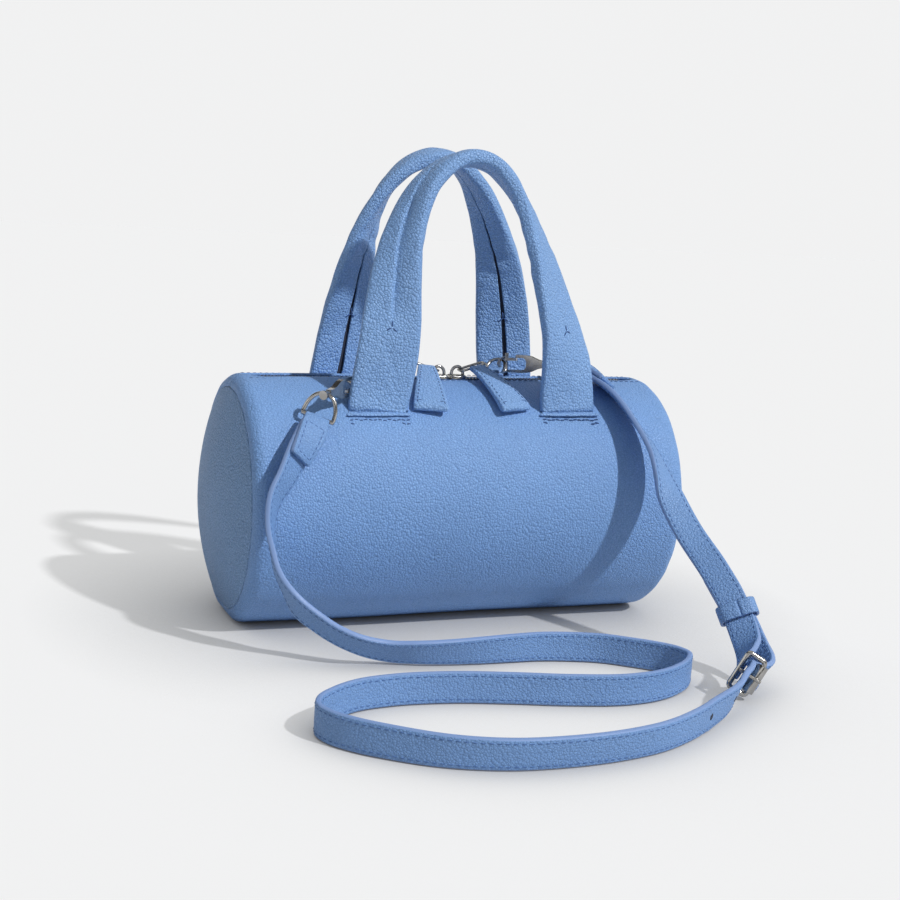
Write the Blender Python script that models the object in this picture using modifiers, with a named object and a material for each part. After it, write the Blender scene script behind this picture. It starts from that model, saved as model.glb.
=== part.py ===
"""A small barrel handbag of pebbled leather with two short handles and a clip-on strap.

Metres, +Z up. X runs along the bag, the front faces -Y, and the origin is under the middle of the bag's flat base.
"""
import math

import bmesh
import bpy
import numpy as np
from mathutils import Matrix, Vector

# Body
BAG_LENGTH = 0.2414
BAG_HEIGHT = 0.130
BAG_DEPTH = 0.1222
BASE_FLAT = 0.028
SHOULDER = 0.0068
END_BULGE = 0.0113
LEATHER = 0.0016
GAP = 0.0003
BULGE_POWER_share = 2.2
CORNER_share = 0.9
CHAMFER_share = 0.3

# Inside
PATCH_THICK = 0.0008
PATCH_WIDTH = 0.044
PATCH_DEEP = 0.016
STIFFENER_THICK = 0.0012
LINING_THICK = 0.0005
POCKET_THICK = 0.0008
POCKET_WIDTH = 0.100
POCKET_TOP = 0.098
POCKET_BASE = 0.048

# Zip
SLOT_HALF = 0.0065
TAPE_THICK = 0.0006
TAPE_INNER = 0.0019
TAPE_OUTER = 0.012
TOOTH_HALF_GAP = 0.00015
TOOTH_TOP = 0.0011
SLIDER_LENGTH = 0.009
SLIDER_HALF = 0.0042
SLIDER_PLATE = 0.0014
SLIDER_FLANGE = 0.0010
SLIDER_FLANGE_DROP = 0.0009
SLIDER_X = 0.0055
BRIDGE_HALF = 0.0010
BRIDGE_LENGTH = 0.0076
BRIDGE_THICK = 0.0011
LINK_RADIUS = 0.0007
LINK_RISE = 0.0026
LINK_LENGTH = 0.0140
LINK_FRONT = 0.0040
LINK_REAR = 0.0026
LINK_CORNER = 0.0017
LINK_OFFSET = 0.0012

# Pull tabs
TAB_TOP_WIDTH = 0.009
TAB_END_WIDTH = 0.019
TAB_LAYER = 0.0013
TAB_LAYER_GAP = 0.0002
TAB_FOLD_GAP = 0.00025
TAB_TOP_X = 0.0145
TAB_END_X = 0.0244
TAB_END_Y = 0.0385
TAB_TURN = math.radians(12)

# Handles
HANDLE_SPAN = 0.1054
HANDLE_LIFT = 0.003634
HANDLE_RISE = 0.1304
HANDLE_BASE_Y = 0.041
HANDLE_TOP_Y = 0.025
HANDLE_WIDTH = 0.033
HANDLE_THICK = 0.0080
HANDLE_HINGE_OUT = 0.0012
HANDLE_LEATHER = 0.0013
HANDLE_SLIT = 0.0020
CORE_EASE = 0.0008
WELT_THICK = 0.0068
WELT_WIDTH = 0.036
WELT_BEVEL = 0.0005

# Rings, clasps and their loops
WIRE = 0.0010
RING_WIDTH = 0.012
RING_DEEP = 0.0105
LOOP_WIDTH = 0.0084
LOOP_LEATHER = 0.0012
LOOP_FOLD_GAP = 0.0003
EYE_WIRE = 0.0011
EYE_WIDTH = 0.0182
EYE_HEIGHT = 0.0125
COLLAR_RADIUS = 0.0034
COLLAR_BORE = 0.0019
COLLAR_LENGTH = 0.0034
POST_RADIUS = 0.0015
POST_HEAD_RADIUS = 0.0024
POST_HEAD = 0.0011
CLAW_WIDTH = 0.0103
CLAW_THICK = 0.0030
CLAW_HOLE_LENGTH = 0.0150
CLAW_HOLE_WIDTH = 0.0070
CLAW_TIP_WALL = 0.0018
HOLE_ROUND_share = 0.35
RING_LIFTS = {"left": 0.12, "right": 0.85}
CLAW_SEAT = 0.0003
CLAW_SLACK = 0.0014
GATE_LENGTH = 0.0066
TRIGGER_BAR = 0.0015
TRIGGER_LENGTH = 0.0070
TRIGGER_THICK = 0.0022
TRIGGER_STUD = 0.0019
TRIGGER_PROUD = 0.0012

# Strap
STRAP_WIDTH = 0.015
STRAP_THICK = 0.0028
STRAP_HOLE = 0.0016
STRAP_HOLE_STEP = 0.029
BUCKLE_WIRE = 0.0011
BUCKLE_HALF = 0.0094
BUCKLE_REACH = 0.0095
ROLLER_RADIUS = 0.0026
ROLLER_HALF = 0.0074
PRONG_RADIUS = 0.0009
PRONG_PAST = 0.0022
PRONG_HOLE = 0.0016
KEEPER_WALL = 0.0014
KEEPER_WIDTH = 0.0085
KEEPER_HALF_W = 0.0088
KEEPER_HALF_N = 0.0042

MERGE = 0.000001
OVERRUN = 0.004
UP = Vector((0, 0, 1))

# Where the clasps and the buckle lie, with the directions of the bars that the strap goes round.
LEFT_BAR = Vector((-0.0876, -0.0474, 0.1150))
LEFT_BAR_WAY = Vector((0.850, -0.445, -0.282))
LEFT_COLLAR = Vector((-0.083221, -0.046602, 0.126964))
RIGHT_BAR = Vector((0.0740, -0.0040, 0.1370))
RIGHT_BAR_WAY = Vector((0.70, 0.71, 0.0))
RIGHT_COLLAR = Vector((0.0652, 0.0046, 0.1362))
LEFT_LOOP_START = Vector((-0.0415, -0.0082, 0.0))
LEFT_LOOP_WAY = Vector((-0.74, -0.67, 0.0))
LEFT_LOOP_RUN = 0.0199
RIGHT_LOOP_START = Vector((0.0293, 0.0082, 0.0))
RIGHT_LOOP_WAY = Vector((0.58, 0.81, 0.0))
RIGHT_LOOP_RUN = 0.0130
LEFT_HOOK_SHARES = (0.0, 1.0)
RIGHT_HOOK_SHARES = (-0.89, 0.57)
ROLLER_AT = Vector((0.0965, -0.1785, 0.0105))
ROLLER_WAY = Vector((0.513, -0.041, 0.857))
VIEWER_WAY = Vector((-0.373, -0.910, 0.178))
STRAP_SPLIT_AT = Vector((0.0370, -0.2220, 0.0079))

# The strap's route, chosen by hand: the middle of the strap and the direction across it.
LONG_ROUTE = [
    ((-0.0883, -0.0485, 0.1140), (-0.80, 0.45, 0.40)),
    ((-0.0949, -0.0566, 0.1065), (-0.77, 0.10, 0.62)),
    ((-0.1009, -0.0609, 0.0991), (-0.69, -0.26, 0.66)),
    ((-0.1075, -0.0656, 0.0887), (-0.61, -0.51, 0.60)),
    ((-0.1130, -0.0684, 0.0805), (-0.58, -0.68, 0.44)),
    ((-0.1160, -0.0710, 0.0640), (-0.40, -0.89, 0.20)),
    ((-0.1150, -0.0730, 0.0550), (-0.27, -0.94, 0.21)),
    ((-0.1130, -0.0760, 0.0450), (-0.19, -0.94, 0.28)),
    ((-0.1080, -0.0790, 0.0350), (-0.10, -0.86, 0.48)),
    ((-0.1020, -0.0830, 0.0265), (0.10, -0.76, 0.64)),
    ((-0.0950, -0.0860, 0.0210), (0.08, -0.74, 0.67)),
    ((-0.0880, -0.0900, 0.0165), (0.05, -0.72, 0.69)),
    ((-0.0800, -0.0940, 0.0128), (0.00, -0.68, 0.73)),
    ((-0.0600, -0.0975, 0.0076), (-0.20, -0.52, 0.82)),
    ((-0.0460, -0.1020, 0.0077), (-0.18, -0.46, 0.87)),
    ((-0.0310, -0.1040, 0.0078), (-0.14, -0.38, 0.91)),
    ((-0.0140, -0.1045, 0.0079), (-0.08, -0.26, 0.96)),
    ((0.0020, -0.1040, 0.0079), (-0.03, -0.14, 0.99)),
    ((0.0180, -0.1040, 0.0079), (0.0, -0.05, 1.0)),
    ((0.0340, -0.1070, 0.0078), (0.0, 0.0, 1.0)),
    ((0.0480, -0.1120, 0.0078), (0.0, 0.0, 1.0)),
    ((0.0600, -0.1205, 0.0078), (0.0, 0.0, 1.0)),
    ((0.0700, -0.1290, 0.0078), (0.0, 0.0, 1.0)),
    ((0.0765, -0.1370, 0.0078), (0.0, 0.0, 1.0)),
    ((0.0785, -0.1460, 0.0078), (0.0, 0.0, 1.0)),
    ((0.0730, -0.1550, 0.0078), (0.0, 0.0, 1.0)),
    ((0.0620, -0.1640, 0.0078), (0.0, 0.0, 1.0)),
    ((0.0490, -0.1700, 0.0078), (0.0, 0.0, 1.0)),
    ((0.0330, -0.1725, 0.0078), (0.0, 0.0, 1.0)),
    ((0.0040, -0.1680, 0.0078), (0.0, 0.0, 1.0)),
    ((-0.0230, -0.1600, 0.0078), (0.0, 0.0, 1.0)),
    ((-0.0500, -0.1535, 0.0078), (0.0, 0.0, 1.0)),
    ((-0.0790, -0.1520, 0.0078), (0.0, 0.0, 1.0)),
    ((-0.0950, -0.1550, 0.0078), (0.0, 0.0, 1.0)),
    ((-0.1100, -0.1635, 0.0078), (0.0, 0.0, 1.0)),
    ((-0.1195, -0.1730, 0.0078), (0.0, 0.0, 1.0)),
    ((-0.1225, -0.1815, 0.0078), (0.0, 0.0, 1.0)),
    ((-0.1205, -0.1905, 0.0078), (0.0, 0.0, 1.0)),
    ((-0.1130, -0.2015, 0.0078), (0.0, 0.0, 1.0)),
    ((-0.1010, -0.2130, 0.0078), (0.0, 0.0, 1.0)),
    ((-0.0800, -0.2280, 0.0078), (0.0, 0.0, 1.0)),
    ((-0.0570, -0.2365, 0.0078), (0.0, 0.0, 1.0)),
    ((-0.0310, -0.2390, 0.0078), (0.0, 0.0, 1.0)),
    ((-0.0010, -0.2365, 0.0078), (0.0, 0.0, 1.0)),
    ((0.0150, -0.2325, 0.0078), (0.0, 0.0, 1.0)),
    ((0.0370, -0.2220, 0.0079), (0.10, 0.0, 0.99)),
    ((0.0570, -0.2085, 0.0083), (0.25, 0.0, 0.96)),
    ((0.0760, -0.1935, 0.0092), (0.42, -0.02, 0.90)),
    ((0.0832, -0.1861, 0.0111), (0.48, -0.03, 0.87)),
    ((0.0895, -0.1802, 0.0123), (0.513, -0.041, 0.857)),
    ((0.0926, -0.1766, 0.0129), (0.513, -0.041, 0.857)),
    ((0.0945, -0.1740, 0.0119), (0.513, -0.041, 0.857)),
    ((0.0970, -0.1729, 0.0105), (0.513, -0.041, 0.857)),
    ((0.1003, -0.1724, 0.0092), (0.513, -0.041, 0.857)),
    ((0.1046, -0.1706, 0.0090), (0.513, -0.041, 0.857)),
    ((0.1082, -0.1672, 0.0104), (0.54, -0.05, 0.84)),
    ((0.1103, -0.1625, 0.0128), (0.60, -0.10, 0.79)),
    ((0.1117, -0.1550, 0.0156), (0.66, -0.14, 0.73)),
    ((0.1124, -0.1478, 0.0196), (0.73, -0.18, 0.66)),
    ((0.1117, -0.1410, 0.0260), (0.78, -0.21, 0.59)),
    ((0.1103, -0.1352, 0.0322), (0.80, -0.22, 0.555)),
    ((0.1085, -0.1275, 0.0392), (0.80, -0.24, 0.53)),
    ((0.1070, -0.1195, 0.0460), (0.81, -0.26, 0.50)),
]
SHORT_ROUTE = [
    ((0.0747, -0.0052, 0.1366), (0.66, 0.75, 0.0)),
    ((0.0780, -0.0112, 0.1345), (0.58, 0.81, -0.05)),
    ((0.0812, -0.0201, 0.1309), (0.47, 0.88, -0.12)),
    ((0.0850, -0.0360, 0.1247), (0.40, 0.90, -0.17)),
    ((0.0901, -0.0513, 0.1131), (0.50, 0.84, -0.22)),
    ((0.0947, -0.0668, 0.0990), (0.72, 0.62, -0.30)),
    ((0.0965, -0.0760, 0.0875), (0.85, 0.10, -0.42)),
    ((0.0975, -0.0830, 0.0790), (0.87, -0.38, -0.30)),
    ((0.1002, -0.0966, 0.0657), (0.89, -0.36, 0.08)),
    ((0.1049, -0.1219, 0.0478), (0.83, -0.26, 0.48)),
    ((0.1073, -0.1349, 0.0369), (0.80, -0.22, 0.555)),
    ((0.1084, -0.1401, 0.0305), (0.79, -0.21, 0.58)),
    ((0.1089, -0.1465, 0.0236), (0.72, -0.16, 0.67)),
    ((0.1070, -0.1540, 0.0190), (0.64, -0.11, 0.76)),
    ((0.1020, -0.1620, 0.0165), (0.56, -0.06, 0.83)),
    ((0.0965, -0.1685, 0.0155), (0.52, -0.04, 0.86)),
    ((0.0925, -0.1720, 0.0148), (0.513, -0.041, 0.857)),
]
KEEPER_AT = Vector((0.1097, -0.1376, 0.0315))
KEEPER_WAY = Vector((0.10, -0.62, -0.78))
KEEPER_ACROSS = Vector((0.80, -0.22, 0.555))

HANDLE_PATH_SHARES = [
    (-0.996, 0.0), (-0.958, 0.103), (-0.917, 0.225), (-0.884, 0.371), (-0.850, 0.525), (-0.793, 0.663),
    (-0.693, 0.785), (-0.541, 0.893), (-0.332, 0.966), (-0.095, 1.0), (0.114, 0.985), (0.304, 0.923),
    (0.470, 0.827), (0.622, 0.697), (0.740, 0.571), (0.844, 0.425), (0.930, 0.283), (0.987, 0.126), (1.015, 0.0),
]
TWIST_SHARES = [(0, 0), (0.22, 0.07), (0.37, 0.17), (0.525, 0.31), (0.64, 0.47), (0.755, 0.61), (0.87, 0.80), (1, 1)]
TAB_LIFT_SHARES = [(0, 1.0), (0.14, 0.92), (0.30, 0.80), (0.5, 0.76), (0.75, 0.80), (1, 1.0)]
WIDTH_SHARES = [(0, 1), (0.22, 0.97), (0.37, 0.91), (0.525, 0.80), (0.64, 0.71), (0.755, 0.65), (1, 0.61)]
THICK_SHARES = [(0, 0.62), (0.25, 0.69), (0.49, 0.94), (1, 1)]
SLIT_SHARES = [(0, 1), (0.26, 0.9), (0.33, 0.3), (1, 0.3)]
CLAW_OUTLINE_SHARES = [
    (0, 0.34), (0.10, 0.36), (0.20, 0.50), (0.32, 0.82), (0.45, 0.97), (0.60, 1.0), (0.75, 0.97), (0.86, 0.84),
    (0.94, 0.60), (0.985, 0.30),
]

for old in list(bpy.data.objects):
    bpy.data.objects.remove(old, do_unlink=True)
BAG = bpy.data.collections.new("baguette_bag")
CUTTERS = bpy.data.collections.new("cutters")
bpy.context.scene.collection.children.link(BAG)
bpy.context.scene.collection.children.link(CUTTERS)
CUTTERS.hide_render = True
ROOT = bpy.data.objects.new("bag", None)
BAG.objects.link(ROOT)


def material(name, colour, roughness, metallic=0.0):
    made = bpy.data.materials.new(name)
    made.use_nodes = True
    shader = made.node_tree.nodes["Principled BSDF"]
    shader.inputs["Base Color"].default_value = (*colour, 1)
    shader.inputs["Roughness"].default_value = roughness
    shader.inputs["Metallic"].default_value = metallic
    made.diffuse_color = (*colour, 1)
    return made


BLUE = material("blue_leather", (0.240, 0.390, 0.680), 0.55)
EDGE = material("strap_leather", (0.210, 0.350, 0.640), 0.55)
METAL = material("polished_metal", (0.620, 0.600, 0.570), 0.20, 1.0)
CLOTH = material("lining_cloth", (0.130, 0.180, 0.280), 0.90)
BOARD = material("stiffener_board", (0.620, 0.600, 0.560), 0.85)
TAPE = material("zip_tape", (0.100, 0.170, 0.330), 0.85)


def finish(obj, skin, origin=(0, 0, 0)):
    """Gives the piece its material, its parent and, where it moves, an origin on its joint."""
    origin = Vector(origin)
    obj.data.transform(Matrix.Translation(-origin) @ obj.matrix_world)
    obj.matrix_world = Matrix.Translation(origin)
    obj.data.materials.clear()
    obj.data.materials.append(skin)
    obj.parent = ROOT
    if obj.type == "MESH":
        obj.data.shade_smooth()
        obj.data.set_sharp_from_angle(angle=math.radians(35))
    return obj


def add(name, data, collection=BAG):
    obj = bpy.data.objects.new(name, data)
    collection.objects.link(obj)
    return obj


def grid_mesh(name, points):
    rows, columns = len(points), len(points[0])
    mesh = bpy.data.meshes.new(name)
    cage = bmesh.new()
    bmesh.ops.create_grid(cage, x_segments=rows - 1, y_segments=columns - 1, size=1)
    for vert in cage.verts:
        row = round((vert.co.x + 1) / 2 * (rows - 1))
        column = round((vert.co.y + 1) / 2 * (columns - 1))
        vert.co = points[row][column]
    return mesh, cage


def sheet(name, points, thick, side, skin, origin=(0, 0, 0)):
    """A surface through rows of points, made solid to one side or, at side 0, to both."""
    mesh, cage = grid_mesh(name, points)
    cage.to_mesh(mesh)
    cage.free()
    obj = finish(add(name, mesh), skin, origin)
    solid = obj.modifiers.new("thickness", "SOLIDIFY")
    solid.thickness = thick
    solid.offset = side
    return obj


def loft(name, rings, skin, origin=(0, 0, 0)):
    """A closed solid through rings of points, its two ends capped."""
    mesh, cage = grid_mesh(name, [list(ring) + [ring[0]] for ring in rings])
    bmesh.ops.remove_doubles(cage, verts=cage.verts, dist=MERGE)
    bmesh.ops.holes_fill(cage, edges=cage.edges, sides=0)
    bmesh.ops.recalc_face_normals(cage, faces=cage.faces)
    cage.to_mesh(mesh)
    cage.free()
    return finish(add(name, mesh), skin, origin)


def wire_curve(name, points, radius, closed):
    curve = bpy.data.curves.new(name, "CURVE")
    curve.dimensions = "3D"
    curve.bevel_depth = radius
    curve.bevel_resolution = 2
    curve.use_fill_caps = True
    spline = curve.splines.new("POLY")
    spline.points.add(len(points) - 1)
    for point, place in zip(spline.points, points):
        point.co = (*place, 1)
    spline.use_cyclic_u = closed
    return add(name, curve)


def outline_curve(name, outlines, depth, frame):
    """A flat outline, extruded by half its depth to each side of the frame's plane."""
    curve = bpy.data.curves.new(name, "CURVE")
    curve.dimensions = "2D"
    curve.fill_mode = "BOTH"
    curve.extrude = depth / 2
    for outline in outlines:
        spline = curve.splines.new("POLY")
        spline.points.add(len(outline) - 1)
        for point, place in zip(spline.points, outline):
            point.co = (place[0], place[1], 0, 1)
        spline.use_cyclic_u = True
    obj = add(name, curve)
    obj.matrix_world = frame
    return obj


def to_mesh(obj):
    """The curve's own solid as a mesh, its caps welded to its sides."""
    bpy.context.view_layer.update()
    graph = bpy.context.evaluated_depsgraph_get()
    mesh = bpy.data.meshes.new_from_object(obj.evaluated_get(graph))
    cage = bmesh.new()
    cage.from_mesh(mesh)
    bmesh.ops.remove_doubles(cage, verts=cage.verts, dist=MERGE)
    bmesh.ops.recalc_face_normals(cage, faces=cage.faces)
    cage.to_mesh(mesh)
    cage.free()
    place, name = obj.matrix_world.copy(), obj.name
    bpy.data.objects.remove(obj, do_unlink=True)
    made = add(name, mesh)
    made.name = name
    made.matrix_world = place
    return made


def round_bar(name, start, end, radius, sides=20):
    """A cylinder from one point to another."""
    along = Vector(end) - Vector(start)
    mesh = bpy.data.meshes.new(name)
    cage = bmesh.new()
    bmesh.ops.create_cone(
        cage, cap_ends=True, segments=sides, radius1=radius, radius2=radius, depth=along.length
    )
    cage.to_mesh(mesh)
    cage.free()
    obj = add(name, mesh)
    turn = UP.rotation_difference(along).to_matrix().to_4x4()
    obj.matrix_world = Matrix.Translation((Vector(start) + Vector(end)) / 2) @ turn
    return obj


def block(name, size, frame):
    """A box of this size, centred in the frame."""
    mesh = bpy.data.meshes.new(name)
    cage = bmesh.new()
    bmesh.ops.create_cube(cage, size=1)
    cage.to_mesh(mesh)
    cage.free()
    mesh.transform(Matrix.Diagonal((*size, 1)))
    obj = add(name, mesh)
    obj.matrix_world = frame
    return obj


def combine(obj, other, operation):
    """Joins another shape to the piece or cuts it out, and keeps the other as a hidden helper."""
    BAG.objects.unlink(other)
    CUTTERS.objects.link(other)
    other.hide_render = True
    other.display_type = "WIRE"
    change = obj.modifiers.new(other.name, "BOOLEAN")
    change.operation = operation
    change.object = other
    return obj


def frame_of(origin, first, second):
    """A frame at the origin whose X is the first direction and whose Y is the second, squared to it."""
    x = Vector(first).normalized()
    y = (Vector(second) - Vector(second).dot(x) * x).normalized()
    z = x.cross(y)
    turn = Matrix((x, y, z)).transposed().to_4x4()
    return Matrix.Translation(Vector(origin)) @ turn


def between(table, share):
    places, values = zip(*table)
    return float(np.interp(share, places, values))


def smooth_path(points, count):
    """Evenly spread points on a smooth curve through the given ones, by the Catmull-Rom rule."""
    points = np.array(points, float)
    run = np.concatenate([[0], np.cumsum(np.linalg.norm(np.diff(points[:, :3], axis=0), axis=1))])
    slopes = np.gradient(points, run, axis=0)
    wanted = np.linspace(0, run[-1], count)
    index = np.clip(np.searchsorted(run, wanted, side="right") - 1, 0, len(run) - 2)
    step = (run[index + 1] - run[index])[:, None]
    s = (wanted - run[index])[:, None] / step
    start, end = points[index], points[index + 1]
    return (
        start * (1 + 2 * s) * (1 - s) ** 2 + end * s * s * (3 - 2 * s)
        + slopes[index] * step * s * (1 - s) ** 2 - slopes[index + 1] * step * s * s * (1 - s)
    )


# The barrel: an ellipse flattened at its base, which the shoulders draw in towards both end seams.
HALF_DEPTH = BAG_DEPTH / 2
FLAT_share = math.sqrt(1 - (BASE_FLAT / BAG_DEPTH) ** 2)
HALF_RISE = BAG_HEIGHT / (1 + FLAT_share)
MID_Z = HALF_RISE * FLAT_share
STRAIGHT = BAG_LENGTH / 2 - SHOULDER


def section(turn, shrink):
    """The point of the section at this angle from the top, counted towards the front."""
    y = -(HALF_DEPTH - shrink) * math.sin(turn)
    return y, max(MID_Z + (HALF_RISE - shrink) * math.cos(turn), shrink)


def top_z(y, inset=0.0):
    reach = min(abs(y) / (HALF_DEPTH - inset), 1)
    return MID_Z + (HALF_RISE - inset) * math.sqrt(1 - reach * reach)


HANDLE_BASE_Z = top_z(HANDLE_BASE_Y) + HANDLE_LIFT


def on_barrel(x, y, height):
    """The point this far above the leather, out along its normal."""
    z = top_z(y)
    normal = Vector((0, y / HALF_DEPTH ** 2, (z - MID_Z) / HALF_RISE ** 2)).normalized()
    return Vector((x, y, z)) + height * normal


def stations(inset, arc_steps=3):
    """Places along the bag with how far the section is drawn in there, shoulders included."""
    radius = SHOULDER - inset
    ends = []
    for step in range(1, arc_steps + 1):
        turn = math.pi / 2 * step / arc_steps
        ends.append((STRAIGHT + radius * math.sin(turn), SHOULDER - radius * math.cos(turn)))
    left = [(-x, shrink) for x, shrink in reversed(ends)]
    return left + [(-STRAIGHT, inset), (0.0, inset), (STRAIGHT, inset)] + ends


def wrap(name, places, turns, thick, skin):
    """Part of the barrel's wall, its thickness going inwards."""
    rows = [[(x, *section(turn, shrink)) for turn in turns] for x, shrink in places]
    return sheet(name, rows, thick, 1, skin)


def end_disc(name, side, inset, rim_shrink, thick, skin, steps=12):
    """A bulged disc that closes one end of the barrel, its thickness going inwards."""
    rows = []
    for u in np.linspace(-1, 1, steps + 1):
        row = []
        for v in np.linspace(-1, 1, steps + 1):
            across, up = u * math.sqrt(1 - v * v / 2), v * math.sqrt(1 - u * u / 2)
            reach, turn = math.hypot(across, up), math.atan2(across, up)
            y, z = section(turn, rim_shrink)
            share = reach * (HALF_DEPTH - rim_shrink) / (HALF_DEPTH - SHOULDER)
            x = BAG_LENGTH / 2 - inset + END_BULGE * (1 - share ** BULGE_POWER_share)
            row.append((side * x, y * reach, MID_Z + (z - MID_Z) * reach))
        rows.append(row)
    return sheet(name, rows, thick, side, skin)


def spread(start, end, count):
    return [float(value) for value in np.linspace(start, end, count)]


SLOT_TURN = math.asin(SLOT_HALF / HALF_DEPTH)
FULL = 2 * math.pi
wrap("main_panel", stations(0.0), spread(SLOT_TURN, FULL - SLOT_TURN, 41), LEATHER, BLUE)

PATCH_INSET = LEATHER + GAP
STIFFENER_INSET = PATCH_INSET + PATCH_THICK + GAP
LINING_INSET = STIFFENER_INSET + STIFFENER_THICK + GAP
POCKET_INSET = LINING_INSET + LINING_THICK + GAP
STIFF_TURN = math.asin((SLOT_HALF + GAP) / (HALF_DEPTH - STIFFENER_INSET))
END_STIFFENER_INSET = LEATHER + GAP * 2
END_LINING_INSET = END_STIFFENER_INSET + STIFFENER_THICK + GAP * 2
LINING_END_SHRINK = LINING_INSET + LINING_THICK + GAP
OVERHANG_share = ((HALF_DEPTH - LINING_END_SHRINK) / (HALF_DEPTH - SHOULDER)) ** BULGE_POWER_share - 1
LINING_X = BAG_LENGTH / 2 - END_LINING_INSET - LINING_THICK - END_BULGE * OVERHANG_share - 2 * GAP


def straight_places(half, inset):
    return [(-half, inset), (0.0, inset), (half, inset)]


wrap("body_stiffener", straight_places(STRAIGHT, STIFFENER_INSET), spread(STIFF_TURN, FULL - STIFF_TURN, 33),
     STIFFENER_THICK, BOARD)
wrap("lining_wrap", straight_places(LINING_X, LINING_INSET), spread(STIFF_TURN, FULL - STIFF_TURN, 33),
     LINING_THICK, CLOTH)
for label, side in (("left", -1), ("right", 1)):
    end_disc(f"end_panel_{label}", side, 0.0, SHOULDER + GAP * 1.5, LEATHER, BLUE, 12)
    end_disc(f"end_stiffener_{label}", side, END_STIFFENER_INSET, SHOULDER + GAP, STIFFENER_THICK, BOARD, 6)
    end_disc(f"lining_end_{label}", side, END_LINING_INSET, LINING_END_SHRINK, LINING_THICK, CLOTH, 6)


def turn_at(z, inset):
    return math.acos(max(-1, min(1, (z - MID_Z) / (HALF_RISE - inset))))


wrap("inner_pocket", straight_places(POCKET_WIDTH / 2, POCKET_INSET),
     [FULL - turn for turn in spread(turn_at(POCKET_BASE, POCKET_INSET), turn_at(POCKET_TOP, POCKET_INSET), 9)],
     POCKET_THICK, CLOTH)

# Zip: tapes under the slot's two edges, a row of teeth on each and two sliders that meet in the middle.
TOOTH_OUTER = TAPE_INNER - GAP
TOOTH_DEEP = TAPE_THICK + PATCH_INSET - TOOTH_TOP


def slot_strip(name, inset, first, last, thick, front, skin):
    """A strip along the top slot, from one distance off the middle to another."""
    rows = []
    for x, shrink in stations(inset, 4):
        row = []
        for y in np.linspace(first, last, 4):
            near = y * (HALF_DEPTH - shrink) / HALF_DEPTH
            row.append((x, -front * near, top_z(near, shrink)))
        rows.append(row)
    return sheet(name, rows, thick, front, skin)


for label, front in (("front", 1), ("rear", -1)):
    slot_strip(f"zip_tape_{label}", PATCH_INSET, TAPE_INNER, TAPE_OUTER, TAPE_THICK, front, TAPE)
    slot_strip(f"zip_teeth_{label}", TOOTH_TOP, TOOTH_HALF_GAP, TOOTH_OUTER, TOOTH_DEEP, front, METAL)

PLATE_BASE = BAG_HEIGHT - TOOTH_TOP + GAP
PLATE_TOP = PLATE_BASE + SLIDER_PLATE
LINK_Z = PLATE_TOP + LINK_RISE
BRIDGE_INNER = LINK_Z + LINK_RADIUS + GAP
BRIDGE_TOP = BRIDGE_INNER + BRIDGE_THICK
TAB_FOLD = LINK_RADIUS + TAB_FOLD_GAP + TAB_LAYER / 2


def slider(label, side):
    """A plate over the teeth with a flange down each side and a bridge for the pull link."""
    x = side * SLIDER_X
    half, flange = SLIDER_HALF, SLIDER_HALF - SLIDER_FLANGE
    base = PLATE_BASE - SLIDER_FLANGE_DROP
    channel = [
        (-half, base), (-flange, base), (-flange, PLATE_BASE), (flange, PLATE_BASE), (flange, base), (half, base),
        (half, PLATE_TOP), (-half, PLATE_TOP),
    ]
    body = to_mesh(outline_curve(f"slider_{label}", [channel], SLIDER_LENGTH, frame_of((x, 0, 0), (0, 1, 0), UP)))
    reach, inner = BRIDGE_LENGTH / 2, BRIDGE_LENGTH / 2 - BRIDGE_THICK
    sunk = PLATE_TOP - SLIDER_PLATE / 2
    arch = [
        (-reach, sunk), (-inner, sunk), (-inner, BRIDGE_INNER), (inner, BRIDGE_INNER), (inner, sunk), (reach, sunk),
        (reach, BRIDGE_TOP), (-reach, BRIDGE_TOP),
    ]
    bridge = to_mesh(
        outline_curve(f"bridge_{label}", [arch], BRIDGE_HALF * 2, frame_of((x, 0, 0), (1, 0, 0), UP))
    )
    return combine(finish(body, METAL, (x, 0, PLATE_BASE)), bridge, "UNION")


def rounded_ring(left, right, low, high, corner, steps=4):
    """The middle line of a ring with straight sides and round corners, in its own plane."""
    points = []
    for x, y, start in ((right, high, 0), (left, high, 90), (left, low, 180), (right, low, 270)):
        cx = x - math.copysign(corner, x - (left + right) / 2)
        cy = y - math.copysign(corner, y - (low + high) / 2)
        for step in range(steps + 1):
            turn = math.radians(start + 90 * step / steps)
            points.append((cx + corner * math.cos(turn), cy + corner * math.sin(turn)))
    return points


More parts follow.
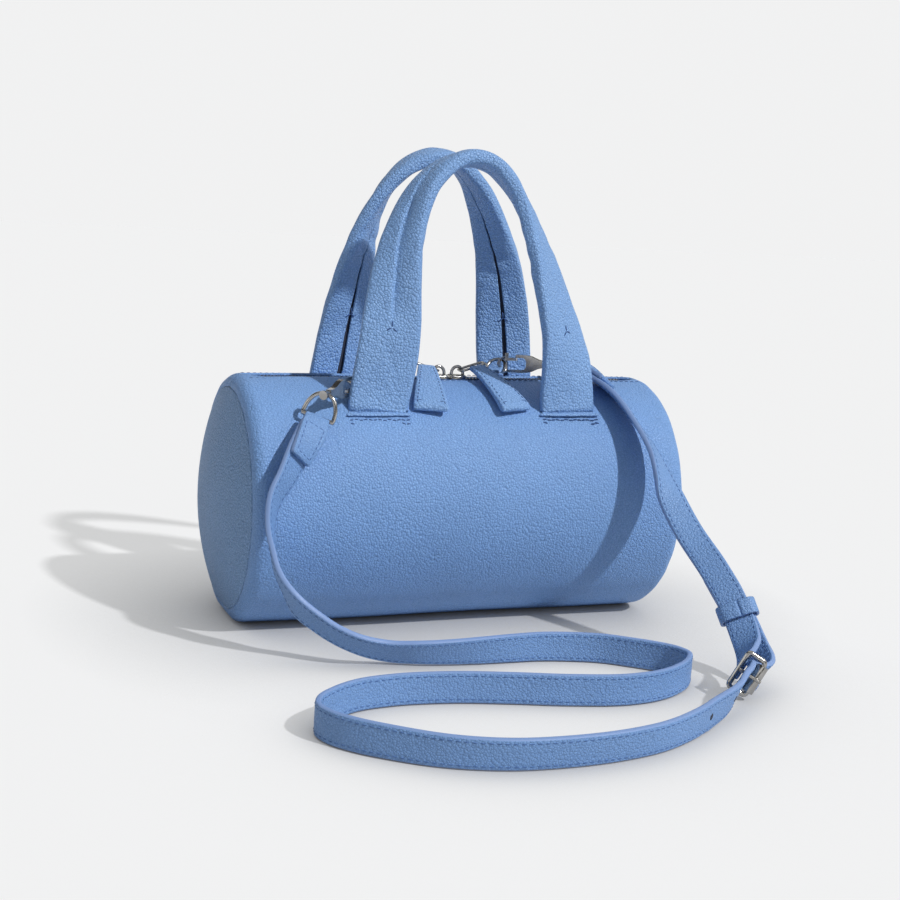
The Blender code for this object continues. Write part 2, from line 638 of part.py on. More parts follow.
def pull(label, side):
    """The link in the slider's bridge and the folded leather tab round the link's front side."""
    near = side * (SLIDER_X + LINK_OFFSET)
    far = near + side * LINK_LENGTH
    ring = rounded_ring(min(near, far), max(near, far), -LINK_FRONT, LINK_REAR, LINK_CORNER)
    link = wire_curve(f"pull_link_{label}", [(x, y, LINK_Z) for x, y in ring], LINK_RADIUS, True)
    finish(link, METAL, (near, 0, LINK_Z))
    layer = (TAB_LAYER + TAB_LAYER_GAP) / 2
    top = Vector((side * TAB_TOP_X, -LINK_FRONT, LINK_Z))
    end = Vector((side * TAB_END_X, -TAB_END_Y, 0))
    course = []
    for share in spread(0, 1, 9):
        flat = top.lerp(end, share)
        lift = between(TAB_LIFT_SHARES, share) * (LINK_Z - top_z(LINK_FRONT))
        place = on_barrel(flat.x, flat.y, lift)
        across = Matrix.Rotation(side * TAB_TURN * share, 3, "Z") @ Vector((1, 0, 0))
        half = (TAB_TOP_WIDTH + (TAB_END_WIDTH - TAB_TOP_WIDTH) * share) / 2
        normal = (place - on_barrel(flat.x, flat.y, 0)).normalized()
        course.append((place, across, normal, half))
    rows = []
    for place, across, normal, half in reversed(course[1:]):
        rows.append([place - normal * layer - across * half, place - normal * layer + across * half])
    place, across, normal, half = course[0]
    ahead = across.cross(normal).normalized()
    if ahead.y > 0:
        ahead = -ahead
    for turn in spread(-0.35 * math.pi, 1.35 * math.pi, 11):
        spot = place + TAB_FOLD * (math.sin(turn - math.pi / 2) * normal - math.cos(turn - math.pi / 2) * ahead)
        rows.append([spot - across * half, spot + across * half])
    for place, across, normal, half in course[1:]:
        rows.append([place + normal * layer - across * half, place + normal * layer + across * half])
    sheet(f"pull_tab_{label}", rows, TAB_LAYER, 0, BLUE, top)


for label, side in (("left", -1), ("right", 1)):
    slider(label, side)
    pull(label, side)


# Handles: a leather wrap folded round a soft core, its edges meeting on the inner side.
def handle_rows(front):
    """Places along a handle: the middle, the directions across and out of it, and its share of the height."""
    half, lean = HANDLE_SPAN / 2, HANDLE_BASE_Y - HANDLE_TOP_Y
    flat = [(half * x, 0.0, HANDLE_RISE * z) for x, z in HANDLE_PATH_SHARES]
    points = smooth_path(flat, 29)
    points[:, 1] = -HANDLE_BASE_Y + lean * points[:, 2] / HANDLE_RISE
    outward = Vector((0, -HANDLE_RISE, lean)).normalized()
    ways = np.gradient(points, axis=0)
    rows = []
    for index, (place, way) in enumerate(zip(points, ways)):
        share = min(max(place[2] / HANDLE_RISE, 0), 1)
        inner = Vector(way).normalized().cross(outward).normalized()
        twist = math.pi / 2 * between(TWIST_SHARES, share)
        across = inner * math.cos(twist) + outward * math.sin(twist)
        out = outward * math.cos(twist) - inner * math.sin(twist)
        flip = Matrix.Diagonal((1, front, 1))
        middle = Vector(place) + Vector((0, 0, HANDLE_BASE_Z))
        rows.append((flip @ middle, flip @ across, flip @ out, share, index in (0, 28)))
    return rows


def handle_section(share, grow, slit):
    """The half outline of the handle's section from the slit round to the middle of the outer face."""
    half = HANDLE_WIDTH * between(WIDTH_SHARES, share) / 2 - grow
    deep = HANDLE_THICK * between(THICK_SHARES, share) / 2 - grow
    corner = deep * CORNER_share
    return [
        (slit, -deep), ((half - corner + slit) / 2, -deep), (half - corner, -deep),
        (half - corner * CHAMFER_share, -deep + corner * CHAMFER_share), (half, -deep + corner),
        (half, deep - corner), (half - corner * CHAMFER_share, deep - corner * CHAMFER_share),
        (half - corner, deep), ((half - corner) / 2, deep), (0.0, deep),
    ]


for label, front in (("front", 1), ("rear", -1)):
    hinge = (0, -front * (HANDLE_BASE_Y + HANDLE_THICK * THICK_SHARES[0][1] / 2 + HANDLE_HINGE_OUT), HANDLE_BASE_Z)
    skin_rows, core_rows = [], []
    for middle, across, out, share, at_base in handle_rows(front):
        slit = HANDLE_SLIT * between(SLIT_SHARES, share) / 2
        half = handle_section(share, 0.0, slit)
        outline = half + [(-a, b) for a, b in reversed(half[:-1])]
        row = [middle + across * a + out * b for a, b in outline]
        if at_base:
            row = [Vector((spot.x, spot.y, HANDLE_BASE_Z)) for spot in row]
        skin_rows.append(row if front > 0 else row[::-1])
        half = handle_section(share, HANDLE_LEATHER + GAP + CORE_EASE * math.sqrt(share), 0.0)[2:8]
        outline = half + [(-a, b) for a, b in reversed(half)]
        if not at_base:
            core_rows.append([middle + across * a + out * b for a, b in outline])
    sheet(f"{label}_handle", skin_rows, HANDLE_LEATHER, -1, BLUE, hinge)
    loft(f"{label}_handle_core", core_rows, BOARD, hinge)

WELT_TOP = HANDLE_BASE_Z - GAP
WELT_INNER = HANDLE_BASE_Y - HANDLE_THICK * THICK_SHARES[0][1] / 2
for label, front in (("front", 1), ("rear", -1)):
    for end, side in (("left", -1), ("right", 1)):
        base_x = HANDLE_PATH_SHARES[0 if side < 0 else -1][0] * HANDLE_SPAN / 2
        ys = spread(WELT_INNER + WELT_THICK, WELT_INNER + WELT_BEVEL, 5)
        edge = [(-front * y, top_z(y) + GAP * 2) for y in ys]
        outline = [(-front * ys[-1], WELT_TOP), (-front * ys[0], WELT_TOP)] + edge
        frame = frame_of((base_x, 0, 0), (0, 1, 0), UP)
        welt = to_mesh(outline_curve(f"{label}_welt_{end}", [outline], WELT_WIDTH, frame))
        finish(welt, BLUE)
        middle = math.asin(HANDLE_BASE_Y / HALF_DEPTH)
        reach = PATCH_DEEP / BAG_DEPTH
        turns = spread(middle - reach, middle + reach, 5)
        if front < 0:
            turns = [FULL - turn for turn in reversed(turns)]
        places = [(base_x - PATCH_WIDTH / 2, PATCH_INSET), (base_x + PATCH_WIDTH / 2, PATCH_INSET)]
        wrap(f"{label}_patch_{end}", places, turns, PATCH_THICK, BOARD)


# Clasps: a leather loop on the bag, the D-ring in it, and a swivelling claw with the strap's eye.
def ring_loop(label, start, way, run):
    """A strip of leather folded round the D-ring's bar. Gives the bar's middle, direction and clear side."""
    way = way.normalized()
    across = Vector((-way.y, way.x, 0))
    fold = WIRE + LOOP_FOLD_GAP + LOOP_LEATHER / 2
    low = GAP + LOOP_LEATHER / 2
    bar = low + fold
    high = low + LOOP_LEATHER + LOOP_FOLD_GAP
    course = [(run * share, low) for share in spread(0, 0.85, 5)]
    for turn in spread(-math.pi / 2, math.pi / 2, 9):
        course.append((run + fold * math.cos(turn), bar + fold * math.sin(turn)))
    course += [(run - fold, bar + fold * 0.55)]
    course += [(run * share, high) for share in spread(0.55, 0, 4)]

    def spot(along, height, offset):
        flat = start + way * along + across * offset
        return on_barrel(flat.x, flat.y, height)

    half = LOOP_WIDTH / 2
    rows = [[spot(along, height, -half), spot(along, height, half)] for along, height in course]
    sheet(f"ring_loop_{label}", rows, LOOP_LEATHER, 0, BLUE)
    ends = spot(run, bar, -half), spot(run, bar, half)
    return (ends[0] + ends[1]) / 2, (ends[1] - ends[0]).normalized()


def half_loop(width, height, steps=12, square_share=0.8):
    """The middle line of a D: a straight bar along X and an arch over it."""
    points = [(width / 2, 0.0)]
    for step in range(1, steps):
        turn = math.pi * step / steps
        x, y = math.cos(turn), math.sin(turn)
        points.append((math.copysign(abs(x) ** square_share, x) * width / 2, y ** square_share * height))
    return points + [(-width / 2, 0.0)]


def in_frame(frame, points):
    return [frame @ Vector((*point, 0)) for point in points]


def d_ring(label, bar, bar_way, apex, hook_shares):
    frame = frame_of(bar, bar_way, apex - bar)
    ring = wire_curve(f"d_ring_{label}", in_frame(frame, half_loop(RING_WIDTH, RING_DEEP)), WIRE, True)
    finish(ring, METAL, bar)
    return frame @ Vector((RING_WIDTH / 2 * hook_shares[0], RING_DEEP * hook_shares[1], 0))


def clasp(label, bar, bar_way, collar, hooked, free_side):
    """The strap's eye, the claw that swivels in its collar and the claw's sprung trigger."""
    top = bar + (collar - bar).normalized() * EYE_HEIGHT
    eye_frame = frame_of(bar, bar_way, top - bar)
    eye_frame = frame_of(bar, eye_frame.col[0].xyz - eye_frame.col[0].xyz.dot(top - bar) * (top - bar), top - bar)
    apex = eye_frame @ Vector((0, EYE_HEIGHT, 0))
    eye = to_mesh(wire_curve(f"eye_{label}", in_frame(eye_frame, half_loop(EYE_WIDTH, EYE_HEIGHT)), EYE_WIRE, True))
    seat = frame_of(apex, hooked - apex, free_side).col[1].xyz * CLAW_SEAT
    reach = hooked - seat - apex
    frame = frame_of(apex, reach, free_side)

    def local(x, y=0.0, z=0.0):
        return frame @ Vector((x, y, z))

    half = COLLAR_LENGTH / 2
    combine(eye, round_bar(f"collar_{label}", local(-half), local(half), COLLAR_RADIUS), "UNION")
    combine(eye, round_bar(f"collar_bore_{label}", local(-OVERRUN), local(OVERRUN), COLLAR_BORE), "DIFFERENCE")
    finish(eye, METAL, apex)

    neck = half + GAP
    tip = reach.length + WIRE + GAP + CLAW_TIP_WALL + CLAW_SLACK
    body = tip - neck
    side = [(neck + body * x, CLAW_WIDTH / 2 * y) for x, y in CLAW_OUTLINE_SHARES]
    outline = side + [(tip, 0.0)] + [(x, -y) for x, y in reversed(side)]
    claw = to_mesh(outline_curve(f"claw_{label}", [outline], CLAW_THICK, frame))
    hole_end = tip - CLAW_TIP_WALL
    hole = rounded_ring(hole_end - CLAW_HOLE_LENGTH, hole_end, -CLAW_HOLE_WIDTH / 2, CLAW_HOLE_WIDTH / 2,
                        CLAW_HOLE_WIDTH * HOLE_ROUND_share)
    combine(claw, to_mesh(outline_curve(f"claw_hole_{label}", [hole], CLAW_THICK * 2, frame)), "DIFFERENCE")
    gate_end = hole_end - CLAW_HOLE_WIDTH * HOLE_ROUND_share
    gate_x, low = gate_end - GATE_LENGTH / 2, -CLAW_HOLE_WIDTH / 2
    cut = Matrix.Translation((gate_x, low - OVERRUN / 2, 0))
    combine(claw, block(f"gate_{label}", (GATE_LENGTH, OVERRUN * 2, CLAW_THICK * 2), frame @ cut), "DIFFERENCE")
    combine(claw, round_bar(f"post_{label}", local(-neck - POST_HEAD / 2), local(neck + POST_HEAD), POST_RADIUS),
            "UNION")
    combine(claw, round_bar(f"post_head_{label}", local(-neck - POST_HEAD), local(-neck), POST_HEAD_RADIUS), "UNION")
    finish(claw, METAL, local(0))

    bar_x, bar_y = gate_end - TRIGGER_LENGTH / 2, low + GAP + TRIGGER_BAR / 2
    trigger = block(f"trigger_{label}", (TRIGGER_LENGTH, TRIGGER_BAR, TRIGGER_THICK),
                    frame @ Matrix.Translation((bar_x, bar_y, 0)))
    tall = (CLAW_WIDTH - CLAW_HOLE_WIDTH) / 2 + TRIGGER_PROUD + GAP
    stud = Matrix.Translation((gate_end - GAP - TRIGGER_STUD / 2, low + GAP * 2 - tall / 2, 0))
    combine(trigger, block(f"stud_{label}", (TRIGGER_STUD, tall, TRIGGER_THICK * 0.9), frame @ stud), "UNION")
    finish(trigger, METAL, local(bar_x, bar_y))


for label, start, way, run, hook_shares, bar, bar_way, collar, free_side in (
    ("left", LEFT_LOOP_START, LEFT_LOOP_WAY, LEFT_LOOP_RUN, LEFT_HOOK_SHARES, LEFT_BAR, LEFT_BAR_WAY, LEFT_COLLAR,
     UP),
    ("right", RIGHT_LOOP_START, RIGHT_LOOP_WAY, RIGHT_LOOP_RUN, RIGHT_HOOK_SHARES, RIGHT_BAR, RIGHT_BAR_WAY,
     RIGHT_COLLAR, -UP),
):
    ring_bar, ring_way = ring_loop(label, start, way, run)
    hooked = d_ring(label, ring_bar, ring_way, ring_bar + way.normalized() + UP * RING_LIFTS[label], hook_shares)
    clasp(label, bar, bar_way, collar, hooked, free_side)


# Strap: two flat lengths of leather, joined by a roller buckle and a keeper.
# The long one's free stretch and the end of it that runs in the buckle and the keeper are a solid each.
def route_table(route, count):
    return smooth_path([(*place, *across) for place, across in route], count)


def ribbon(name, table):
    rows = []
    for row in table:
        across = Vector(row[3:]).normalized() * STRAP_WIDTH / 2
        rows.append([Vector(row[:3]) - across, Vector(row[:3]) + across])
    return sheet(name, rows, STRAP_THICK, 0, EDGE)


long_table = route_table(LONG_ROUTE, 121)
split = int(np.argmin(np.linalg.norm(long_table[:, :3] - np.array(STRAP_SPLIT_AT), axis=1)))
end_table = long_table[split:].copy()
end_way = end_table[1, :3] - end_table[0, :3]
end_table[0, :3] += end_way / np.linalg.norm(end_way) * GAP
ribbon("strap_long", long_table[:split + 1])
strap_end = ribbon("strap_long_end", end_table)
ribbon("strap_short", route_table(SHORT_ROUTE, 36))

along = ROLLER_WAY.normalized()
facing = (VIEWER_WAY - VIEWER_WAY.dot(along) * along).normalized()
heel_way = facing.cross(along)
heel = ROLLER_AT + heel_way * BUCKLE_REACH
corners = [ROLLER_AT - along * BUCKLE_HALF, ROLLER_AT + along * BUCKLE_HALF,
           heel + along * BUCKLE_HALF, heel - along * BUCKLE_HALF]
finish(wire_curve("buckle_frame", corners, BUCKLE_WIRE, True), METAL, heel)
roller = round_bar("buckle_roller", ROLLER_AT - along * ROLLER_HALF, ROLLER_AT + along * ROLLER_HALF, ROLLER_RADIUS)
bore_half = along * (ROLLER_HALF + OVERRUN)
combine(roller, round_bar("roller_bore", ROLLER_AT - bore_half, ROLLER_AT + bore_half, BUCKLE_WIRE + GAP),
        "DIFFERENCE")
finish(roller, METAL, ROLLER_AT)
prong_start = heel + facing * (BUCKLE_WIRE + PRONG_RADIUS + GAP)
prong_end = ROLLER_AT + facing * (ROLLER_RADIUS + PRONG_RADIUS + GAP) - heel_way * PRONG_PAST
finish(round_bar("buckle_prong", prong_start, prong_end, PRONG_RADIUS, 12), METAL, heel)
way = (prong_end - prong_start).normalized() * PRONG_RADIUS * 2
combine(strap_end, round_bar("prong_hole", prong_start - way, prong_end, PRONG_HOLE, 12), "DIFFERENCE")


def cut_strap_holes():
    """The adjusting holes that show: one step and two steps along the strap from the prong."""
    run = np.concatenate([[0], np.cumsum(np.linalg.norm(np.diff(long_table[:, :3], axis=0), axis=1))])
    crossing = int(np.argmin(np.linalg.norm(long_table[:, :3] - np.array((ROLLER_AT + heel) / 2), axis=1)))
    for count in (1, 2):
        spot = int(np.searchsorted(run, run[crossing] - STRAP_HOLE_STEP * count))
        middle = Vector(long_table[spot, :3])
        ahead = Vector(long_table[spot + 1, :3] - long_table[spot - 1, :3])
        through = ahead.cross(Vector(long_table[spot, 3:])).normalized() * STRAP_THICK
        combine(strap_end, round_bar(f"strap_hole_{count}", middle - through, middle + through, STRAP_HOLE, 10),
                "DIFFERENCE")


cut_strap_holes()

keeper_frame = frame_of(KEEPER_AT, KEEPER_WAY, KEEPER_ACROSS)
band = Matrix((keeper_frame.col[1].xyz, keeper_frame.col[2].xyz, keeper_frame.col[0].xyz)).transposed().to_4x4()
band = Matrix.Translation(KEEPER_AT) @ band
outer = rounded_ring(-KEEPER_HALF_W - KEEPER_WALL, KEEPER_HALF_W + KEEPER_WALL,
                     -KEEPER_HALF_N - KEEPER_WALL, KEEPER_HALF_N + KEEPER_WALL, KEEPER_WALL * 2, 3)
inner = rounded_ring(-KEEPER_HALF_W, KEEPER_HALF_W, -KEEPER_HALF_N, KEEPER_HALF_N, KEEPER_WALL, 3)
keeper = to_mesh(outline_curve("keeper", [outer], KEEPER_WIDTH, band))
combine(keeper, to_mesh(outline_curve("keeper_inside", [inner], KEEPER_WIDTH * 2, band)), "DIFFERENCE")
finish(keeper, EDGE, KEEPER_AT)
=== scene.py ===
"""A small barrel bag in pebbled blue leather, with two handles, a zip and a clip-on strap.

Lengths are in metres. The bag lies along X, its front faces -Y and Z is up.
Each new piece is a grid of points worked out with numpy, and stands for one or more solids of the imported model.
"""

import math

import bpy
import numpy as np
from numpy import array, clip, concatenate, cos, cross, exp, interp, linspace, sign, sin, sqrt
from mathutils import Matrix


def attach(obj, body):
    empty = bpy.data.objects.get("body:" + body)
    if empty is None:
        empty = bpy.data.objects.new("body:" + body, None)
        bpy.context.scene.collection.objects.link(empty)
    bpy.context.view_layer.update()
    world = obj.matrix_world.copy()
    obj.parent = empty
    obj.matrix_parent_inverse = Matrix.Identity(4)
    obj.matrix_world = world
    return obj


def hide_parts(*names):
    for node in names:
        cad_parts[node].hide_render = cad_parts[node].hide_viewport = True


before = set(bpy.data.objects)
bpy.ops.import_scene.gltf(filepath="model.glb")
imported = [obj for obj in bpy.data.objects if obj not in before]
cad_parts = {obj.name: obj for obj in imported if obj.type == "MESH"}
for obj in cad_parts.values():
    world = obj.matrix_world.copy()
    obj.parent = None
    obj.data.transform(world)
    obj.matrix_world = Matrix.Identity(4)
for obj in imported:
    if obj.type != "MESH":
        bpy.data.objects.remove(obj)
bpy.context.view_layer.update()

# The barrel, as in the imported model, and the layers inside its leather.
BAG_LENGTH, BAG_HEIGHT, BAG_DEPTH = 0.2414, 0.130, 0.1222
BASE_FLAT, SHOULDER, END_BULGE, BULGE_POWER = 0.028, 0.0068, 0.0113, 2.2
LEATHER, GAP, PATCH, BOARD, LINING = 0.0016, 0.0003, 0.0008, 0.0012, 0.0005
HALF_LENGTH, HALF_DEPTH = BAG_LENGTH / 2, BAG_DEPTH / 2
FLAT_SHARE = math.sqrt(1 - (BASE_FLAT / BAG_DEPTH) ** 2)
HALF_RISE = BAG_HEIGHT / (1 + FLAT_SHARE)
MID_Z = HALF_RISE * FLAT_SHARE
STRAIGHT = HALF_LENGTH - SHOULDER
SLOT_HALF = 0.0065
SLOT_TURN = math.asin(SLOT_HALF / HALF_DEPTH)
PATCH_INSET = LEATHER + GAP
LINING_INSET = PATCH_INSET + PATCH + GAP + BOARD + GAP
END_LINING_INSET = LEATHER + GAP * 2 + BOARD + GAP * 2
LINING_RIM = LINING_INSET + LINING + GAP

FULL = 2 * math.pi
SIDES, FRONTS = {"left": -1, "right": 1}, {"front": 1, "rear": -1}
# Towards the right of the photograph, and towards its viewer.
VIEW_RIGHT, VIEWER = array([0.928, -0.368, 0.064]), array([-0.373, -0.910, 0.178])

# Handles and their feet.
HANDLE_SPAN, HANDLE_BASE_Z, HANDLE_RISE = 0.1054, 0.1166, 0.1304
HANDLE_BASE_Y, HANDLE_TOP_Y = 0.041, 0.025
HANDLE_WIDTH, HANDLE_THICK, HANDLE_SLIT = 0.033, 0.0080, 0.0020
HANDLE_PATH = array([
    (-0.996, 0.0), (-0.958, 0.103), (-0.917, 0.225), (-0.884, 0.371), (-0.85, 0.525), (-0.793, 0.663), (-0.693, 0.785),
    (-0.541, 0.893), (-0.332, 0.966), (-0.095, 1.0), (0.114, 0.985), (0.304, 0.923), (0.47, 0.827), (0.622, 0.697),
    (0.74, 0.571), (0.844, 0.425), (0.93, 0.283), (0.987, 0.126), (1.015, 0.0),
])
TWIST = array([(0, 0), (0.22, 0.07), (0.37, 0.17), (0.525, 0.31), (0.64, 0.47), (0.755, 0.61), (0.87, 0.80), (1, 1)])
WIDTHS = array([(0, 1), (0.22, 0.97), (0.37, 0.91), (0.525, 0.80), (0.64, 0.71), (0.755, 0.65), (1, 0.61)])
THICKS = array([(0, 0.62), (0.25, 0.69), (0.49, 0.94), (1, 1)])
SLITS = array([(0, 1), (0.26, 0.9), (0.33, 0.3), (1, 0.3)])

# The strap's route: its middle and the direction across it. Along the floor it stands on its edge.
STRAP_WIDTH, STRAP_THICK = 0.015, 0.0028
FLOOR_ROUTE = [
    (0.034, -0.107), (0.048, -0.112), (0.06, -0.1205), (0.07, -0.129), (0.0765, -0.137), (0.0785, -0.146),
    (0.073, -0.155), (0.062, -0.164), (0.049, -0.17), (0.033, -0.1725), (0.004, -0.168), (-0.023, -0.16),
    (-0.05, -0.1535), (-0.079, -0.152), (-0.095, -0.155), (-0.11, -0.1635), (-0.1195, -0.173), (-0.1225, -0.1815),
    (-0.1205, -0.1905), (-0.113, -0.2015), (-0.101, -0.213), (-0.08, -0.228), (-0.057, -0.2365), (-0.031, -0.239),
    (-0.001, -0.2365), (0.015, -0.2325),
]
LONG_ROUTE = array([
    (-0.0883, -0.0485, 0.114, -0.8, 0.45, 0.4), (-0.0949, -0.0566, 0.1065, -0.77, 0.1, 0.62),
    (-0.1009, -0.0609, 0.0991, -0.69, -0.26, 0.66), (-0.1075, -0.0656, 0.0887, -0.61, -0.51, 0.6),
    (-0.113, -0.0684, 0.0805, -0.58, -0.68, 0.44), (-0.116, -0.071, 0.064, -0.4, -0.89, 0.2),
    (-0.115, -0.073, 0.055, -0.27, -0.94, 0.21), (-0.113, -0.076, 0.045, -0.19, -0.94, 0.28),
    (-0.108, -0.079, 0.035, -0.1, -0.86, 0.48), (-0.102, -0.083, 0.0265, 0.1, -0.76, 0.64),
    (-0.095, -0.086, 0.021, 0.08, -0.74, 0.67), (-0.088, -0.09, 0.0165, 0.05, -0.72, 0.69),
    (-0.08, -0.094, 0.0128, 0.0, -0.68, 0.73), (-0.06, -0.0975, 0.0076, -0.2, -0.52, 0.82),
    (-0.046, -0.102, 0.0077, -0.18, -0.46, 0.87), (-0.031, -0.104, 0.0078, -0.14, -0.38, 0.91),
    (-0.014, -0.1045, 0.0079, -0.08, -0.26, 0.96), (0.002, -0.104, 0.0079, -0.03, -0.14, 0.99),
    (0.018, -0.104, 0.0079, 0.0, -0.05, 1.0), *((x, y, 0.0078, 0.0, 0.0, 1.0) for x, y in FLOOR_ROUTE),
    (0.037, -0.222, 0.0079, 0.1, 0.0, 0.99), (0.057, -0.2085, 0.0083, 0.25, 0.0, 0.96),
    (0.076, -0.1935, 0.0092, 0.42, -0.02, 0.9), (0.0832, -0.1861, 0.0111, 0.48, -0.03, 0.87),
    (0.0895, -0.1802, 0.0123, 0.513, -0.041, 0.857), (0.0926, -0.1766, 0.0129, 0.513, -0.041, 0.857),
    (0.0945, -0.174, 0.0119, 0.513, -0.041, 0.857), (0.097, -0.1729, 0.0105, 0.513, -0.041, 0.857),
    (0.1003, -0.1724, 0.0092, 0.513, -0.041, 0.857), (0.1046, -0.1706, 0.009, 0.513, -0.041, 0.857),
    (0.1082, -0.1672, 0.0104, 0.54, -0.05, 0.84), (0.1103, -0.1625, 0.0128, 0.6, -0.1, 0.79),
    (0.1117, -0.155, 0.0156, 0.66, -0.14, 0.73), (0.1124, -0.1478, 0.0196, 0.73, -0.18, 0.66),
    (0.1117, -0.141, 0.026, 0.78, -0.21, 0.59), (0.1103, -0.1352, 0.0322, 0.8, -0.22, 0.555),
    (0.1085, -0.1275, 0.0392, 0.8, -0.24, 0.53), (0.107, -0.1195, 0.046, 0.81, -0.26, 0.5),
])
SHORT_ROUTE = array([
    (0.0747, -0.0052, 0.1366, 0.66, 0.75, 0.0), (0.078, -0.0112, 0.1345, 0.58, 0.81, -0.05),
    (0.0812, -0.0201, 0.1309, 0.47, 0.88, -0.12), (0.085, -0.036, 0.1247, 0.4, 0.9, -0.17),
    (0.0901, -0.0513, 0.1131, 0.5, 0.84, -0.22), (0.0947, -0.0668, 0.099, 0.72, 0.62, -0.3),
    (0.0965, -0.076, 0.0875, 0.85, 0.1, -0.42), (0.0975, -0.083, 0.079, 0.87, -0.38, -0.3),
    (0.1002, -0.0966, 0.0657, 0.89, -0.36, 0.08), (0.1049, -0.1219, 0.0478, 0.83, -0.26, 0.48),
    (0.1073, -0.1349, 0.0369, 0.8, -0.22, 0.555), (0.1084, -0.1401, 0.0305, 0.79, -0.21, 0.58),
    (0.1089, -0.1465, 0.0236, 0.72, -0.16, 0.67), (0.107, -0.154, 0.019, 0.64, -0.11, 0.76),
    (0.102, -0.162, 0.0165, 0.56, -0.06, 0.83), (0.0965, -0.1685, 0.0155, 0.52, -0.04, 0.86),
    (0.0925, -0.172, 0.0148, 0.513, -0.041, 0.857),
])


# Arrays.
def unit(vectors):
    """Vectors of length one, along the last axis."""
    vectors = np.asarray(vectors, float)
    return vectors / np.linalg.norm(vectors, axis=-1, keepdims=True)


def squared(vectors, ways):
    """These vectors made square to the ways, at length one."""
    return unit(vectors - np.sum(vectors * ways, axis=-1, keepdims=True) * ways)


def together(*values):
    """Points from their coordinates: arrays or numbers, spread to one shape."""
    return np.stack(np.broadcast_arrays(*values), axis=-1)


def around(count):
    """Angles spread evenly once round."""
    return linspace(0, FULL, count, endpoint=False)


def oval(turns, wide_power=1, deep_power=1):
    """A circle or rounded oblong: the angle's cosine and sine, each raised to a power with its sign kept."""
    x, y = cos(turns), sin(turns)
    return together(sign(x) * np.abs(x) ** wide_power, sign(y) * np.abs(y) ** deep_power)


def ease(share):
    """From 0 to 1, level at both ends."""
    return share * share * (3 - 2 * share)


def run_of(points):
    """Distance run along rows of points."""
    return concatenate([[0.0], np.cumsum(np.linalg.norm(np.diff(points, axis=0), axis=1))])


def read_at(wanted, run, values):
    """Rows of values read at these lengths along their run."""
    return np.stack([interp(wanted, run, column) for column in values.T], axis=-1)


def rounded_box(half_wide, half_deep, corner, steps=4, middle=(0, 0)):
    """Outline of a box with round corners, counted once round: a quarter circle of points at each corner."""
    outline = []
    for sx, sy, start in ((1, 1, 0), (-1, 1, 90), (-1, -1, 180), (1, -1, 270)):
        place = array(middle) + (sx * (half_wide - corner), sy * (half_deep - corner))
        outline.append(place + corner * oval(np.radians(start + linspace(0, 90, steps))))
    return concatenate(outline)


def laid(at, x, y, shape):
    """A flat outline laid in the plane of the directions x and y."""
    return at + shape[:, :1] * x + shape[:, 1:] * y


# Camera: fitted to the photograph, with its roll.
def placed(name, data, axes, place):
    """Puts a camera or lamp into the scene, with these directions as its own right, up and back."""
    obj = bpy.data.objects.new(name, data)
    matrix = np.eye(4)
    matrix[:3, :3], matrix[:3, 3] = np.stack(axes, axis=1), place
    obj.matrix_world = Matrix(matrix.tolist())
    bpy.context.scene.collection.objects.link(obj)
    return obj


def aim_camera(azimuth, elevation, roll, distance, target, lens):
    """Camera on a sphere round the target: back is the direction to it, right and up are turned by the roll."""
    turn, lift, tilt = np.radians((azimuth, elevation, roll))
    back = array([sin(turn) * cos(lift), -cos(turn) * cos(lift), sin(lift)])
    right = array([cos(turn), sin(turn), 0.0])
    up = cross(back, right)
    axes = right * cos(tilt) + up * sin(tilt), up * cos(tilt) - right * sin(tilt), back
    data = bpy.data.cameras.new("photograph_camera")
    data.lens, data.sensor_width, data.clip_start, data.clip_end = lens, 36.0, 0.01, 50.0
    bpy.context.scene.camera = placed("photograph_camera", data, axes, array(target) + back * distance)


aim_camera(azimuth=-22.29, elevation=10.25, roll=3.72, distance=0.86789, target=(0.00435, 0.0, 0.08868), lens=62.92)


# Materials.
class Shade:
    """One output of a shader node. Sums written with it add their Math nodes."""

    def __init__(self, nodes, node, output=0):
        self.nodes, self.node, self.output = nodes, node, output

    def out(self, name):
        """Another output of the same node."""
        return Shade(self.nodes, self.node, name)

    def maths(self, operation, first, second=0.0):
        """A Math node with these two values."""
        return self.nodes.node("Math", {0: first, 1: second}, operation=operation)

    def __add__(self, other):
        return self.maths("ADD", self, other)

    def __sub__(self, other):
        return self.maths("SUBTRACT", self, other)

    def __rsub__(self, other):
        return self.maths("SUBTRACT", other, self)

    def __mul__(self, other):
        return self.maths("MULTIPLY", self, other)

    def __pow__(self, other):
        return self.maths("POWER", self, other)

    __radd__, __rmul__ = __add__, __mul__

    def over(self, low, high):
        """0 below low, 1 above high and smooth between."""
        return self.nodes.node("MapRange", {0: self, 1: low, 2: high}, interpolation_type="SMOOTHSTEP")


class Nodes:
    """A shader tree that is built node by node."""

    def __init__(self, owner):
        owner.use_nodes = True
        self.owner, self.tree = owner, owner.node_tree
        self.tree.nodes.clear()

    def link(self, shade, socket):
        """Joins an output to a socket."""
        self.tree.links.new(shade.node.outputs[shade.output], socket)

    def node(self, kind, values=None, **settings):
        """One node of this type: its settings first, then the values or links of its sockets."""
        made = self.tree.nodes.new(f"ShaderNode{kind}")
        for key, value in settings.items():
            setattr(made, key, value)
        for key, value in (values or {}).items():
            socket = made.inputs[key]
            if isinstance(value, Shade):
                self.link(value, socket)
            else:
                socket.default_value = (*value, 1.0) if socket.type == "RGBA" else value
        return Shade(self, made)

    def ramp(self, share, stops):
        """A colour ramp through stops of a place and a colour."""
        made = self.node("ValToRGB", {0: share})
        elements = made.node.color_ramp.elements
        for place, _ in stops[1:-1]:
            elements.new(place)
        for element, (place, colour) in zip(elements, stops):
            element.position, element.color = place, (*colour, 1.0)
        return made


